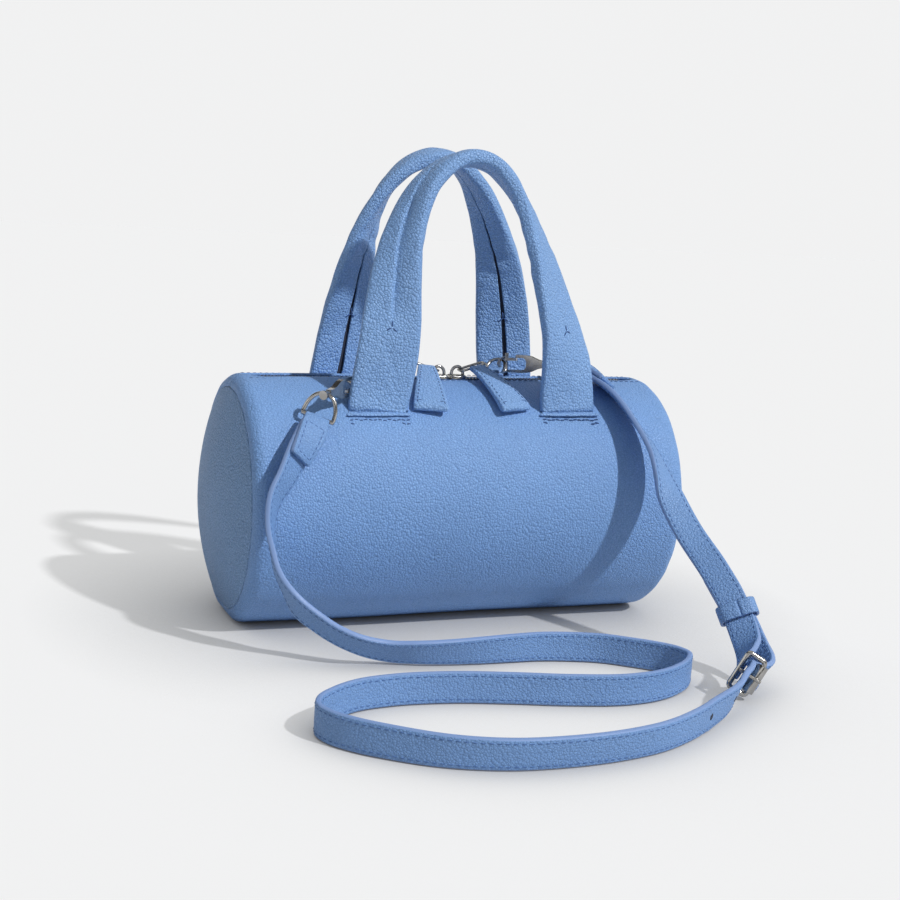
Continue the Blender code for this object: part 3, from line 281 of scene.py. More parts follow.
class Skin(Nodes):
    """A material with one main shader, whose patterns follow the piece's own places."""

    def __init__(self, name, roughness, metallic=0.0):
        super().__init__(bpy.data.materials.new(name))
        self.main = self.node("BsdfPrincipled", {"Metallic": metallic, "Roughness": roughness})
        self.node("OutputMaterial", {"Surface": self.main})
        self.places = self.node("TexCoord").out("Object")

    def feed(self, colour, roughness=None, normal=None):
        """Links these to the shader's sockets, and gives the finished material."""
        for name, shade in (("Base Color", colour), ("Roughness", roughness), ("Normal", normal)):
            if shade is not None:
                self.link(shade, self.main.node.inputs[name])
        return self.owner

    def noise(self, scale, detail=2.0, roughness=0.5):
        """A noise over the piece's own places."""
        values = {"Vector": self.places, "Scale": scale, "Detail": detail, "Roughness": roughness}
        return self.node("TexNoise", values)

    def mix(self, share, first, second):
        """The first colour, or this share of the second."""
        return self.node("Mix", {0: share, 6: first, 7: second}, data_type="RGBA").out(2)

    def bump(self, height, distance, strength=1.0):
        """The surface's direction, tilted by a height pattern."""
        return self.node("Bump", {"Height": height, "Distance": distance, "Strength": strength})

    def own(self):
        """The piece's band attribute, as three numbers: across, out and along, in metres."""
        return self.node("SeparateXYZ", {0: self.node("Attribute", attribute_name="band").out("Vector")})


def toned(colour, share):
    """The colour made paler or darker."""
    return tuple(min(level * share, 1) for level in colour)


def pebbled(name, colour, deep, cell, rough, relief, edge=None, edge_colour=None):
    """Pebbled leather: domed cells, 1 - 1.5 d * d of the distance to each middle, parted by creases.

    A noise moves the places, so that the cells lose their straight sides, and two slower ones change the tone.
    Where edge is given, the piece's band attribute paints whatever is further across than that.
    """
    skin = Skin(name, rough)
    drift = skin.noise(0.45 / cell).out("Color")
    bent = skin.node("VectorMath", {0: drift, 1: (cell * 0.9,) * 3, 2: skin.places}, operation="MULTIPLY_ADD")
    far, border = (skin.node("TexVoronoi", {"Vector": bent, "Scale": 1 / cell}, feature=feature)
                   for feature in ("F1", "DISTANCE_TO_EDGE"))
    creases = border.out("Distance").over(0.0, 0.24)
    fine, slow, patchy = skin.noise(2.4 / cell), skin.noise(16.0, 3.0), skin.noise(120.0)
    tone = skin.mix((slow * 0.7 + patchy * 0.3).over(0.32, 0.68), toned(colour, 0.95), toned(colour, 1.04))
    # The creases are drawn halfway to the deep colour: painted shade in the grain's creases.
    coloured = skin.mix(0.50 + creases * 0.50, deep, tone)
    height = (1.0 - far * far * 1.5) * 0.72 + creases * 0.22 + fine * 0.16
    if edge is not None:
        across = skin.own()
        painted = across.maths("ABSOLUTE", across).over(edge - 0.00030, edge + 0.0001)
        coloured = skin.mix(painted, coloured, edge_colour)
        height = height * (1.0 - painted)
    return skin.feed(coloured, rough + 0.10 - creases * 0.14 + (patchy - 0.5) * 0.12, skin.bump(height, relief))


def polished(name, colour, rough):
    """Polished plate: hairline wear and a faint waviness."""
    skin = Skin(name, rough, 1.0)
    wear, slow = skin.noise(900.0, 3.0, 0.6), skin.noise(140.0)
    return skin.feed(skin.mix(slow.over(0.3, 0.7), toned(colour, 0.70), colour),
                     rough * 0.7 + wear * 0.14 + slow * 0.10, skin.bump(slow, 0.00025, 0.35))


def woven(name, colour, dark, pitch=0.0006, rough=0.85):
    """Plain weave in the piece's own across and along: two crossed waves, the higher thread on top."""
    skin = Skin(name, rough)
    across, along = (wave.maths("SINE", wave * (FULL / pitch)) for wave in (skin.own(), skin.own().out("Z")))
    weave = (across * along * 0.5 + 0.5).over(0.1, 0.9)
    fluff = skin.noise(700.0)
    return skin.feed(skin.mix(weave * 0.7 + fluff * 0.3, dark, colour), rough - 0.1 + fluff * 0.2,
                     skin.bump(weave, 0.0002, 0.6))


def thread_skin(name, colour, dark):
    """Twisted thread: fine slanted bands from a wave on the piece's places."""
    skin = Skin(name, 0.55)
    values = {"Vector": skin.places, "Scale": 1500.0, "Distortion": 2.0}
    ply = skin.node("TexWave", values).out("Fac")
    return skin.feed(skin.mix(ply * 0.6 + skin.noise(300.0, 1.0) * 0.4, dark, colour),
                     normal=skin.bump(ply, 0.0001, 0.5))


def pressed_board(name, colour):
    """Pressed fibre, for the grey board and the dark felt: soft speckle."""
    skin = Skin(name, 0.85)
    speck = skin.noise(600.0, 4.0, 0.7)
    return skin.feed(skin.mix(speck.over(0.35, 0.65), toned(colour, 0.8), colour), 0.75 + speck * 0.15)


# Each finish is a material and the record's slot that it belongs to. Each leather's second colour is drawn into its
# grain's creases: painted shade.
LEATHER_SKIN = pebbled("pebbled_blue_leather", (0.205, 0.382, 0.715), (0.115, 0.238, 0.510),
                       0.00125, 0.50, 0.00036), "blue_leather"
# The handles, pulls, loops, feet and end panels are the bag's one leather, given paler copies of its colour: painted
# light.
HANDLE_SKIN_PAINTED_LIGHTER = pebbled("handle_leather", (0.243, 0.430, 0.755), (0.122, 0.243, 0.512),
                      0.00138, 0.47, 0.00044), "blue_leather"
END_SKIN_PAINTED_LIGHTER = pebbled("end_panel_leather", (0.242, 0.408, 0.685), (0.126, 0.236, 0.450),
                   0.00135, 0.52, 0.00062), "blue_leather"
STRAP_SKIN = pebbled("strap_leather_edged", (0.190, 0.348, 0.650), (0.110, 0.222, 0.465),
                     0.00122, 0.50, 0.00028, 0.0072, (0.215, 0.330, 0.600)), "strap_leather"
METAL_SKIN = polished("polished_nickel", (0.50, 0.49, 0.475), 0.12), "polished_metal"
TAPE_SKIN = woven("blue_zip_tape", (0.130, 0.230, 0.460), (0.060, 0.110, 0.260)), "zip_tape"
LINING_SKIN = woven("blue_lining", (0.160, 0.210, 0.330), (0.080, 0.110, 0.190)), "lining_cloth"
THREAD_SKIN = thread_skin("dark_blue_thread", (0.055, 0.130, 0.330), (0.020, 0.060, 0.190)), "blue_leather"
STRAP_THREAD_SKIN = thread_skin("mid_blue_thread", (0.090, 0.200, 0.460), (0.045, 0.110, 0.300)), "strap_leather"
BOARD_SKIN = pressed_board("stiffener_board_grey", (0.50, 0.48, 0.45)), "stiffener_board"
# The dark felt also paints the strap's holes: painted shade.
FELT_AND_HOLE_SHADE_SKIN = pressed_board("handle_filler_felt", (0.030, 0.036, 0.060)), "stiffener_board"


# Surfaces from grids of points.
def piece(name, points, faces, skin, body, stands_for="", band=None, smooth=True):
    """A mesh object that rides on a body and stands for the solids named, which are parted by spaces."""
    mesh = bpy.data.meshes.new(name)
    mesh.from_pydata(np.asarray(points, float).reshape(-1, 3).tolist(), [], faces)
    if band is not None:
        attribute = mesh.attributes.new("band", "FLOAT_VECTOR", "POINT")
        attribute.data.foreach_set("vector", np.asarray(band, np.float32).reshape(-1))
    mesh.polygons.foreach_set("use_smooth", [smooth] * len(mesh.polygons))
    mesh.materials.append(skin[0])
    mesh.update()
    obj = bpy.data.objects.new(name, mesh)
    bpy.context.scene.collection.objects.link(obj)
    if stands_for:
        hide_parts(*stands_for.split())
    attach(obj, body)
    return obj


def quads(rows, columns, ring=False, loop=False):
    """Faces of a grid: ring joins its last column to the first, loop its last row to the first."""
    down = np.arange(rows if loop else rows - 1)[:, None]
    over = np.arange(columns if ring else columns - 1)
    above, below, beside = down * columns, (down + 1) % rows * columns, (over + 1) % columns
    return together(above + over, above + beside, below + beside, below + over).reshape(-1, 4).tolist()


def turned(faces, wrong):
    """The faces, turned over if they point the wrong way."""
    return [face[::-1] for face in faces] if wrong else faces


def closed_faces(rings, loop=False):
    """Outward faces of a closed body: each ring of points is joined to the next, and both ends are capped.

    The sign of the volume tells which way they point: a cap counts there by its first four corners.
    """
    rows, columns = rings.shape[:2]
    faces = quads(rows, columns, True, loop)
    if not loop:
        faces += [list(range(columns))[::-1], list(range((rows - 1) * columns, rows * columns))]
    corners = rings.reshape(-1, 3)
    a, b, c, d = (corners[[face[count] for face in faces]] for count in range(4))
    return turned(faces, np.sum(a * (cross(b, c) + cross(c, d))) < 0)


def tube(name, rings, skin, body, stands_for="", band=None, loop=False):
    """A closed body from rings of points."""
    return piece(name, rings, closed_faces(rings, loop), skin, body, stands_for, band)


def repeated(name, bodies, skin, body, stands_for="", smooth=True):
    """Many small closed bodies with the same faces, as one piece."""
    one, size = closed_faces(bodies[0]), bodies[0].size // 3
    faces = [[corner + size * count for corner in face] for count in range(len(bodies)) for face in one]
    return piece(name, bodies, faces, skin, body, stands_for, None, smooth)


def walled(obj, thick, offset=-1.0):
    """Gives an open surface its wall: on its inner side, or half to each side with offset 0."""
    wall = obj.modifiers.new("wall", "SOLIDIFY")
    wall.thickness, wall.offset = thick, offset


def sheet_of(name, grid, thick, outward, skin, body, stands_for, band):
    """An open surface with a wall on its inner side: outward is a direction that its faces should follow."""
    row, column = grid.shape[0] // 2, grid.shape[1] // 2
    facing = cross(grid[row, column + 1] - grid[row, column], grid[row + 1, column] - grid[row, column])
    faces = turned(quads(*grid.shape[:2]), np.dot(facing, outward) < 0)
    walled(piece(name, grid, faces, skin, body, stands_for, band), thick)


def smooth_path(points, count):
    """Evenly spread points on a smooth curve through the given ones, by the Catmull-Rom rule."""
    run = run_of(points[:, :3])
    slopes = np.gradient(points, run, axis=0)
    wanted = linspace(0, run[-1], count)
    index = clip(np.searchsorted(run, wanted, side="right") - 1, 0, len(run) - 2)
    step = (run[index + 1] - run[index])[:, None]
    s = (wanted - run[index])[:, None] / step
    start, end = points[index], points[index + 1]
    return (start * (1 + 2 * s) * (1 - s) ** 2 + end * s * s * (3 - 2 * s)
            + slopes[index] * step * s * (1 - s) ** 2 - slopes[index + 1] * step * s * s * (1 - s))


def ways_along(points, loop=False):
    """Directions along a path, or along one that closes on itself."""
    if loop:
        return ways_along(concatenate([points[-1:], points, points[:1]]))[1:-1]
    return unit(np.gradient(points, axis=0))


def frames_along(points, across):
    """Across and normal at each point: across is squared to the path, normal = its direction x across."""
    ways = ways_along(points)
    across = squared(across, ways)
    return across, cross(ways, across)


def sweep(points, across, normal, profile, scale=((1, 1),)):
    """A profile of (across, out) pairs carried along a path."""
    spread = profile[None] * np.asarray(scale)[:, None]
    return points[:, None] + across[:, None] * spread[..., :1] + normal[:, None] * spread[..., 1:]


def wire(name, points, radius, body, stands_for="", loop=True):
    """Round metal wire along a path in one plane: the circle's two directions lie in that plane and across it."""
    ways = ways_along(points, loop)
    flat = np.linalg.svd(points - points.mean(axis=0))[2][-1]
    side = unit(cross(ways, flat))
    rings = sweep(points, side, cross(ways, side), radius * oval(around(16)))
    return tube(name, rings, METAL_SKIN, body, stands_for, loop=loop)


def smoothed(name, node, bevel, angle=32):
    """A metal solid's own shape on the body of its name: its points joined, its sharp edges rounded."""
    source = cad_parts[node].data
    places, corners = np.empty(len(source.vertices) * 3), np.empty(len(source.loops), int)
    source.vertices.foreach_get("co", places)
    source.loops.foreach_get("vertex_index", corners)
    places = places.reshape(-1, 3)
    _, first, index = np.unique(np.round(places, 7), axis=0, return_index=True, return_inverse=True)
    faces = index.reshape(-1)[corners].reshape(-1, 3)
    whole = (faces != np.roll(faces, 1, axis=1)).all(axis=1)
    obj = piece(name, places[first], faces[whole].tolist(), METAL_SKIN, node, node)
    obj.data.set_sharp_from_angle(angle=math.radians(angle))
    edge = obj.modifiers.new("edge", "BEVEL")
    edge.width, edge.segments, edge.limit_method, edge.angle_limit = bevel, 2, "ANGLE", math.radians(angle)
    edge.harden_normals = True
    return obj


def stitch_row(points, normals, pitch, margin=0.0):
    """Middles, directions and ups of stitches set evenly along a path, clear of its ends by a margin."""
    run = run_of(points)
    wanted = np.arange(margin + pitch / 2, run[-1] - margin, pitch)
    ways, ups = np.gradient(points, run, axis=0), np.broadcast_to(normals, points.shape)
    return read_at(wanted, run, points), unit(read_at(wanted, run, ways)), unit(read_at(wanted, run, ups))


def stitches(name, rows, length, radius, skin, body):
    """Rows of short stitches: a six-sided bead for each, its ends thinner and sunk by a parabola of their distance."""
    middles, ways, ups = (concatenate(values) for values in zip(*rows))
    share = array([-1.0, -0.66, 0.0, 0.66, 1.0])
    thin = array([0.45, 0.92, 1.0, 0.92, 0.45]) * radius
    side = unit(cross(ways, ups))
    spine = (middles[:, None] + ways[:, None] * (share * length / 2)[:, None]
             - ups[:, None] * (share ** 2 * radius * 0.9)[:, None])
    turns = around(6)[:, None]
    ring = cos(turns) * side[:, None, None] * 1.15 + sin(turns) * ups[:, None, None]
    return repeated(name, spine[:, :, None] + ring * thin[:, None, None], skin, body)


# Barrel: a section angle and a place along the bag give a point of the shell.
def section(turn, shrink):
    """The section at this angle from the top, counted towards the front: an ellipse with a flat base."""
    y = -(HALF_DEPTH - shrink) * sin(turn)
    return y, np.maximum(MID_Z + (HALF_RISE - shrink) * cos(turn), shrink)


def top_z(y, inset=0.0):
    """Height of the barrel's top, or of a layer this far inside it: the ellipse's upper half."""
    reach = clip(np.abs(y) / (HALF_DEPTH - inset), 0, 1)
    return MID_Z + (HALF_RISE - inset) * sqrt(1 - reach * reach)


def on_barrel(x, y, height):
    """The point this far above the leather, out along its normal, and the normal."""
    x, y, height = np.broadcast_arrays(x, y, height)
    z = top_z(y)
    normal = unit(together(0, y / HALF_DEPTH ** 2, (z - MID_Z) / HALF_RISE ** 2))
    return together(x, y, z) + height[..., None] * normal, normal


def shell_stations(inset, steps, arc):
    """Places along the bag and the shell's shrink there: straight, then a quarter round at each shoulder."""
    turns = linspace(0, math.pi / 2, arc + 1)[1:]
    radius = SHOULDER - inset
    ends_x, ends_shrink = STRAIGHT + radius * sin(turns), SHOULDER - radius * cos(turns)
    x = concatenate([-ends_x[::-1], linspace(-STRAIGHT, STRAIGHT, steps), ends_x])
    return x, concatenate([ends_shrink[::-1], np.full(steps, inset), ends_shrink])


def ripple(x, turn):
    """How far the leather sits in from the true barrel: slow waves, and short folds that die away from the seams."""
    slow = (0.00022 * sin(31 * x + 1.3 * cos(2 * turn)) + 0.00020 * sin(19 * x - 3 * turn + 1.0)
            + 0.00016 * cos(47 * x + 2 * turn))
    near = exp(-np.abs(HALF_LENGTH - np.abs(x)) / 0.011)
    folds = 0.5 + 0.5 * sin(17 * turn + 2.2 * sin(3 * turn) + sign(x)) * sin(5 * turn + 0.7)
    return slow + 0.00045 * near * folds + 0.00030


def shell_part(name, x, turn, shrink, thick, outward, skin, stands_for):
    """A wall of the barrel: section(turn, shrink) at each place along it. Its band is round, 0 and along."""
    y, z = section(turn, shrink)
    sheet_of(name, together(x, y, z), thick, outward, skin, "bag", stands_for, together(turn * HALF_DEPTH, 0 * y, x))


def barrel_leather():
    """The main panel, drawn in a little by ripple. Towards both ends the edges of the zip's slot draw together."""
    x, shrink = (values[:, None] for values in shell_stations(0.0, 121, 9))
    closing = SLOT_TURN * 0.97 * clip((np.abs(x) - 0.104) / 0.011, 0, 1) ** 1.5
    turn = linspace(SLOT_TURN, FULL - SLOT_TURN, 241)
    turn = math.pi + (turn - math.pi) * (1 + closing / (math.pi - SLOT_TURN))
    shell_part("barrel_leather", x, turn, shrink + ripple(x, turn), LEATHER, (0, 0, -1), LEATHER_SKIN, "main_panel")


def end_panel(name, side, inset, rim, thick, skin, stands_for, count=60, pucker=0.00035):
    """A bulged disc: the section shrunk to each reach, standing out by END_BULGE (1 - reach ** power)."""
    reach, turn = linspace(0, 1, count)[1:, None], around(180)
    y, z = section(turn, rim)
    share = reach * (HALF_DEPTH - rim) / (HALF_DEPTH - SHOULDER)
    folds = sin(23 * turn + 2 * sin(4 * turn)) * sin(6 * turn + 1)
    x = (HALF_LENGTH - inset + END_BULGE * (1 - share ** BULGE_POWER)
         - pucker * exp(-(1 - reach) / 0.06) * (0.5 + 0.5 * folds)
         + 0.0005 * sin(3 * turn + 1) * reach * (1 - reach))
    grid = together(side * x, y * reach, MID_Z + (z - MID_Z) * reach)
    points = concatenate([grid.reshape(-1, 3), [[side * (HALF_LENGTH - inset + END_BULGE), 0, MID_Z]]])
    faces, middle = quads(*grid.shape[:2], True), len(points) - 1
    faces += [[middle, (column + 1) % len(turn), column] for column in range(len(turn))]
    a, b, c = points[faces[0][:3]]
    band = concatenate([together(turn * 0.05, 0, reach * 0.05).reshape(-1, 3), [[0, 0, 0]]])
    faces = turned(faces, cross(b - a, c - b)[0] * side < 0)
    walled(piece(name, points, faces, skin, "bag", stands_for, band), thick)


def lining():
    """The lining's wall, straight along the bag with a few slow folds, and the slip pocket on its rear side."""
    over = ((HALF_DEPTH - LINING_RIM) / (HALF_DEPTH - SHOULDER)) ** BULGE_POWER - 1
    reach = HALF_LENGTH - END_LINING_INSET - LINING - END_BULGE * over - 2 * GAP
    slot = math.asin((SLOT_HALF + GAP) / (HALF_DEPTH - LINING_INSET + 0.0015))
    x, turn = linspace(-reach, reach, 60)[:, None], linspace(slot, FULL - slot, 121)
    shell_part("lining_shell", x, turn, LINING_INSET + 0.0004 * (1 + sin(60 * x + 4 * turn)), LINING, (0, 0, -1),
               LINING_SKIN, "lining_wrap")
    x, turn = linspace(-0.05, 0.05, 40)[:, None], FULL - linspace(0.95, 1.85, 30)
    shell_part("pocket_slip", x, turn, LINING_INSET + 0.0016 + 0.0003 * sin(90 * x), 0.0008, (0, 1, 0),
               LINING_SKIN, "inner_pocket")


barrel_leather()
for label, side in SIDES.items():
    end_panel(f"end_leather_{label}", side, 0.0, SHOULDER + GAP * 1.5, LEATHER, END_SKIN_PAINTED_LIGHTER, f"end_panel_{label}")
    end_panel(f"end_lining_{label}", side, END_LINING_INSET, LINING_RIM, LINING, LINING_SKIN, f"lining_end_{label}",
              20, 0.0)
lining()


# Zip: woven tapes under the slot's edges and two rows of small teeth.
TEETH_INSET = 0.0011


def zip_tapes():
    """Each tape is the shell's top, further in, from beside the teeth to under the leather."""
    x, shrink = (values[:, None] for values in shell_stations(PATCH_INSET, 90, 8))
    across = linspace(0.0019, 0.012, 12)
    y = across * (HALF_DEPTH - shrink) / HALF_DEPTH
    for label, front in FRONTS.items():
        sheet_of(f"tape_{label}", together(x, -front * y, top_z(y, shrink)), 0.0006, (0, 0, 1), TAPE_SKIN, "bag",
                 f"zip_tape_{label}", together(across, 0 * y, x))


def zip_teeth():
    """Small rounded blocks on both tapes' edges, those of one side between those of the other."""
    x, shrink = shell_stations(TEETH_INSET, 400, 20)
    run = run_of(together(x, shrink))
    pitch, margin = 0.0019, 0.018
    box = rounded_box(0.00052, 0.0006, 0.0002, 2)
    across, height = array([(0.00015, 0.75), (0.0005, 1.0), (0.0012, 1.0), (0.0016, 0.8)]).T[..., None]
    for label, front, phase in (("front", 1, 0.0), ("rear", -1, 0.5)):
        wanted = np.arange(margin + pitch * phase, run[-1] - margin, pitch)
        middle, drop = (interp(wanted, run, values)[:, None, None] for values in (x, shrink))
        blocks = together(middle + box[:, 0], -front * across, top_z(0.001, drop) - 0.00045 + box[:, 1] * height)
        repeated(f"teeth_{label}", blocks, METAL_SKIN, "bag", f"zip_teeth_{label}", smooth=False)


zip_tapes()
zip_teeth()
slot_rows = [stitch_row(*on_barrel(linspace(-STRAIGHT, STRAIGHT, 200), -front * 0.0092, -0.0001), 0.0033)
             for front in (1, -1)]
stitches("slot_stitches", slot_rows, 0.0024, 0.00022, THREAD_SKIN, "bag")


# Sliders, links and leather pulls.
PLATE_TOP = BAG_HEIGHT - TEETH_INSET + GAP + 0.0014
LINK_Z = PLATE_TOP + 0.0026
SLIDER_X, LINK_HALF, TAB_TOP, TAB_END = 0.0055, 0.0070, array([0.0145, 0.0040]), array([0.0244, 0.0385])
TAB_LIFT = array([(0, 1.0), (0.14, 0.92), (0.30, 0.80), (0.5, 0.76), (0.75, 0.80), (1, 1.0)])


def pull(label, side):
    """The link, and the leather pull: a flat pad that widens and thickens downwards and wraps the link at its top."""
    ring = rounded_box(LINK_HALF, 0.0033, 0.0017, 8, (side * (SLIDER_X + 0.0012 + LINK_HALF), -0.0007))
    wire(f"link_{label}", together(*ring.T, LINK_Z + 0.30 * (np.abs(ring[:, 0]) - 0.0067)), 0.0007,
         f"pull_link_{label}", f"pull_link_{label}")
    share = linspace(0, 1, 60)
    lift = interp(share, *TAB_LIFT.T) * (LINK_Z - top_z(TAB_TOP[1])) + 0.0023 * (1 - share) ** 1.3
    x, y = (TAB_TOP + (TAB_END - TAB_TOP) * share[:, None]).T
    middle, normal = on_barrel(side * x, -y, lift)
    turn = side * math.radians(12) * share
    across, out = frames_along(middle, together(cos(turn), sin(turn), 0))
    out = out * sign(np.sum(out * normal, axis=1, keepdims=True))
    end, start = clip((1 - share) / 0.05, 0, 1), clip(share / 0.035, 0, 1)
    wide = (0.0045 + 0.0050 * share) * (0.90 + 0.10 * sqrt(end)) * (0.93 + 0.07 * start)
    thick = (0.0015 + 0.0007 * interp(share, (0, 0.7, 0.93, 1), (0, 0.2, 1, 1))) * sqrt(1 - (1 - end) ** 2 * 0.92)
    thick = thick * sqrt(1 - (1 - start) ** 2 * 0.9)
    rings = sweep(middle, across, out, oval(around(40), 0.26, 0.55), together(wide, thick))
    tube(f"pull_leather_{label}", rings, HANDLE_SKIN_PAINTED_LIGHTER, f"pull_tab_{label}", f"pull_tab_{label}")
    inside = (share > 0.10) & (share < 0.93)
    last = int(np.argmin(np.abs(share - 0.90)))
    face = middle + out * (thick * 0.985)[:, None]
    sewn = wide - 0.0019
    rows = [stitch_row((face + across * (edge * sewn)[:, None])[inside], out[inside], 0.0030) for edge in (-1, 1)]
    inwards = linspace(sewn[last], wide[last] - 0.0046, 12)[:, None]
    rows += [stitch_row(face[last] + across[last] * edge * inwards, out[last], 0.0027) for edge in (-1, 1)]
    stitches(f"pull_stitches_{label}", rows, 0.0022, 0.00024, THREAD_SKIN, f"pull_tab_{label}")


def slider(label, side):
    """A domed plate with rounded corners over the teeth, and a round bail that holds the link."""
    x = side * SLIDER_X
    plan = rounded_box(0.0045, 0.0042, 0.0013, 6)
    levels = ((-0.0023, 0.94), (-0.0021, 1.0), (-0.0006, 1.0), (-0.0002, 0.95), (0, 0.86), (0.0002, 0.5))
    rings = array([together(x + plan[:, 0] * size, plan[:, 1] * size, PLATE_TOP + z) for z, size in levels])
    plate = tube(f"slider_body_{label}", rings, METAL_SKIN, f"slider_{label}", f"slider_{label}")
    plate.data.set_sharp_from_angle(angle=math.radians(40))
    turns = linspace(0, math.pi, 26)
    bail = together(x + 0.0034 * cos(turns), 0, PLATE_TOP - 0.0002 + 0.0048 * sin(turns) ** 0.75)
    wire(f"slider_bail_{label}", bail, 0.00085, f"slider_{label}", loop=False)


for label, side in SIDES.items():
    slider(label, side)
    pull(label, side)


# Handles: a leather wrap round a soft core, its edges meeting on the inner side.
def leg_shift(share, x, front):
    """How far a leg's lower end is drawn in over the barrel, and the right one set along it, easing off upwards."""
    low, mid = 1 - clip(share / 0.32, 0, 1), 1 - clip((share - 0.10) / 0.55, 0, 1)
    return together((0.0026 if front > 0 else -0.0030) * ease(mid) * (x > 0), 0.0045 * ease(low), 0)


def handle_frames(front, count):
    """Places along a handle with the directions across and out of it, and the share of its height."""
    lean = HANDLE_BASE_Y - HANDLE_TOP_Y
    points = smooth_path(together(HANDLE_SPAN / 2 * HANDLE_PATH[:, 0], 0, HANDLE_RISE * HANDLE_PATH[:, 1]), count)
    points[:, 1] = -HANDLE_BASE_Y + lean * points[:, 2] / HANDLE_RISE
    outward = unit((0, -HANDLE_RISE, lean))
    share = clip(points[:, 2] / HANDLE_RISE, 0, 1)
    inner = unit(cross(ways_along(points), outward))
    twist = (math.pi / 2 * interp(share, *TWIST.T))[:, None]
    across = inner * cos(twist) + outward * sin(twist)
    out = outward * cos(twist) - inner * sin(twist)
    flip = array([1, front, 1])
    moved = leg_shift(share, points[:, 0], front)
    return (points + moved + [0, 0, HANDLE_BASE_Z]) * flip, across * flip, out * flip, share


def handle_outline(half, deep, share, columns):
    """The section from one edge of the slit, round the outer face, to the other edge, evenly spread.

    It is a rounded oblong, squarer near the foot. Gives the places across and out, a row for each place along.
    """
    turns = -math.pi / 2 + linspace(0, 1, 1441) * FULL
    rows = []
    for height, wide, thick, gap in zip(share, half, deep, HANDLE_SLIT * interp(share, *SLITS.T) / 2):
        outline = oval(turns, 0.42 + 0.20 * height, 0.34 + 0.30 * height) * (wide, thick)
        outline = outline[(outline[:, 1] > 0) | (np.abs(outline[:, 0]) > gap)]
        run = run_of(outline)
        rows.append(read_at(linspace(0, run[-1], columns), run, outline))
    return np.moveaxis(array(rows), 2, 0)


def seam_bars(label, middle, across, out, share, deep):
    """Three stitches in a star on both faces of each leg, where the wrap's seam begins."""
    rows, count = [], len(share)
    for half in (slice(0, count // 2), slice(count // 2, count)):
        spot = np.arange(count)[half][int(np.argmin(np.abs(share[half] - 0.325)))]
        up = unit(middle[spot + 1] - middle[spot - 1])
        up = up * (1 if up[2] > 0 else -1)
        for face, lift in ((-out[spot], 0.0001), (out[spot], 0.0006)):
            base = middle[spot] + face * (deep[spot] + lift)
            for start, end in (((0, 0.0034), (0, 0)), ((0, 0), (-0.0030, -0.0019)), ((0, 0), (0.0030, -0.0021))):
                first, last = (base + across[spot] * x + up * y for x, y in (start, end))
                rows.append((((first + last) / 2)[None], unit(last - first)[None], face[None]))
    stitches(f"seam_bars_{label}", rows, 0.0034, 0.00034, THREAD_SKIN, f"{label}_handle")


def handle(label, front):
    """One handle: the outline, moved in by the crease and out by the dome, with waves and wrinkles, and its core."""
    body, count, columns = f"{label}_handle", 181, 110
    middle, across, out, share = handle_frames(front, count)
    if front > 0:
        turn = (math.radians(15) * exp(-((share - 0.36) / 0.24) ** 2) * (middle[:, 0] > 0))[:, None]
        across, out = across * cos(turn) + out * sin(turn), out * cos(turn) - across * sin(turn)
    half, deep = HANDLE_WIDTH * interp(share, *WIDTHS.T) / 2, HANDLE_THICK * interp(share, *THICKS.T) / 2
    a, b = handle_outline(half, deep, share, columns)
    run = run_of(middle)[:, None]
    height = share[:, None]
    beside = a * sign(across @ VIEW_RIGHT)[:, None]
    fold = interp(height, (0.335, 0.40, 0.80, 0.97), (0, 1, 1, 0)) * (front > 0) * (middle[:, :1] < 0.01)
    groove = np.where(beside > 0, exp(-beside / 0.0048), exp(beside / 0.0005))
    b = b - 0.0019 * fold * groove * (b > 0)
    b = b + 0.0006 * interp(height, (0.05, 0.3, 0.6), (0.3, 1, 1)) * cos(beside / 0.0115) * (b > 0)
    place = np.arange(columns) / columns * FULL
    wave = 0.00022 * sin(run * 260 + 2 * sin(3 * place)) * sin(run * 71 + place)
    bend = exp(-((height - 0.62) / 0.12) ** 2)
    crease = 0.00040 * bend * sin(run * 520 + 1.5 * sin(2 * place)) * (0.5 + 0.5 * cos(place))
    b = b + (wave + crease) * (1 - exp(-height / 0.02))
    a = a * (1 - 0.055 * exp(-height / 0.06))
    grid = middle[:, None] + across[:, None] * a[..., None] + out[:, None] * b[..., None]
    grid[share < 0.004, :, 2] = HANDLE_BASE_Z
    sheet_of(f"handle_leather_{label}", grid, 0.0013, out[count // 4], HANDLE_SKIN_PAINTED_LIGHTER, body, body, together(a, b, run))
    inside, turns = slice(3, count - 3), around(32)
    core = sweep(*(values[inside] for values in (middle, across, out)), oval(turns, 0.5, 0.7),
                 together(half - 0.0021, deep - 0.0017)[inside])
    tube(f"handle_filler_{label}", core, FELT_AND_HOLE_SHADE_SKIN, body, f"{label}_handle_core",
         together(turns * 0.01, 0, run[inside]))
    seam_bars(label, middle, across, out, share, deep)
    handle_feet(label, front)


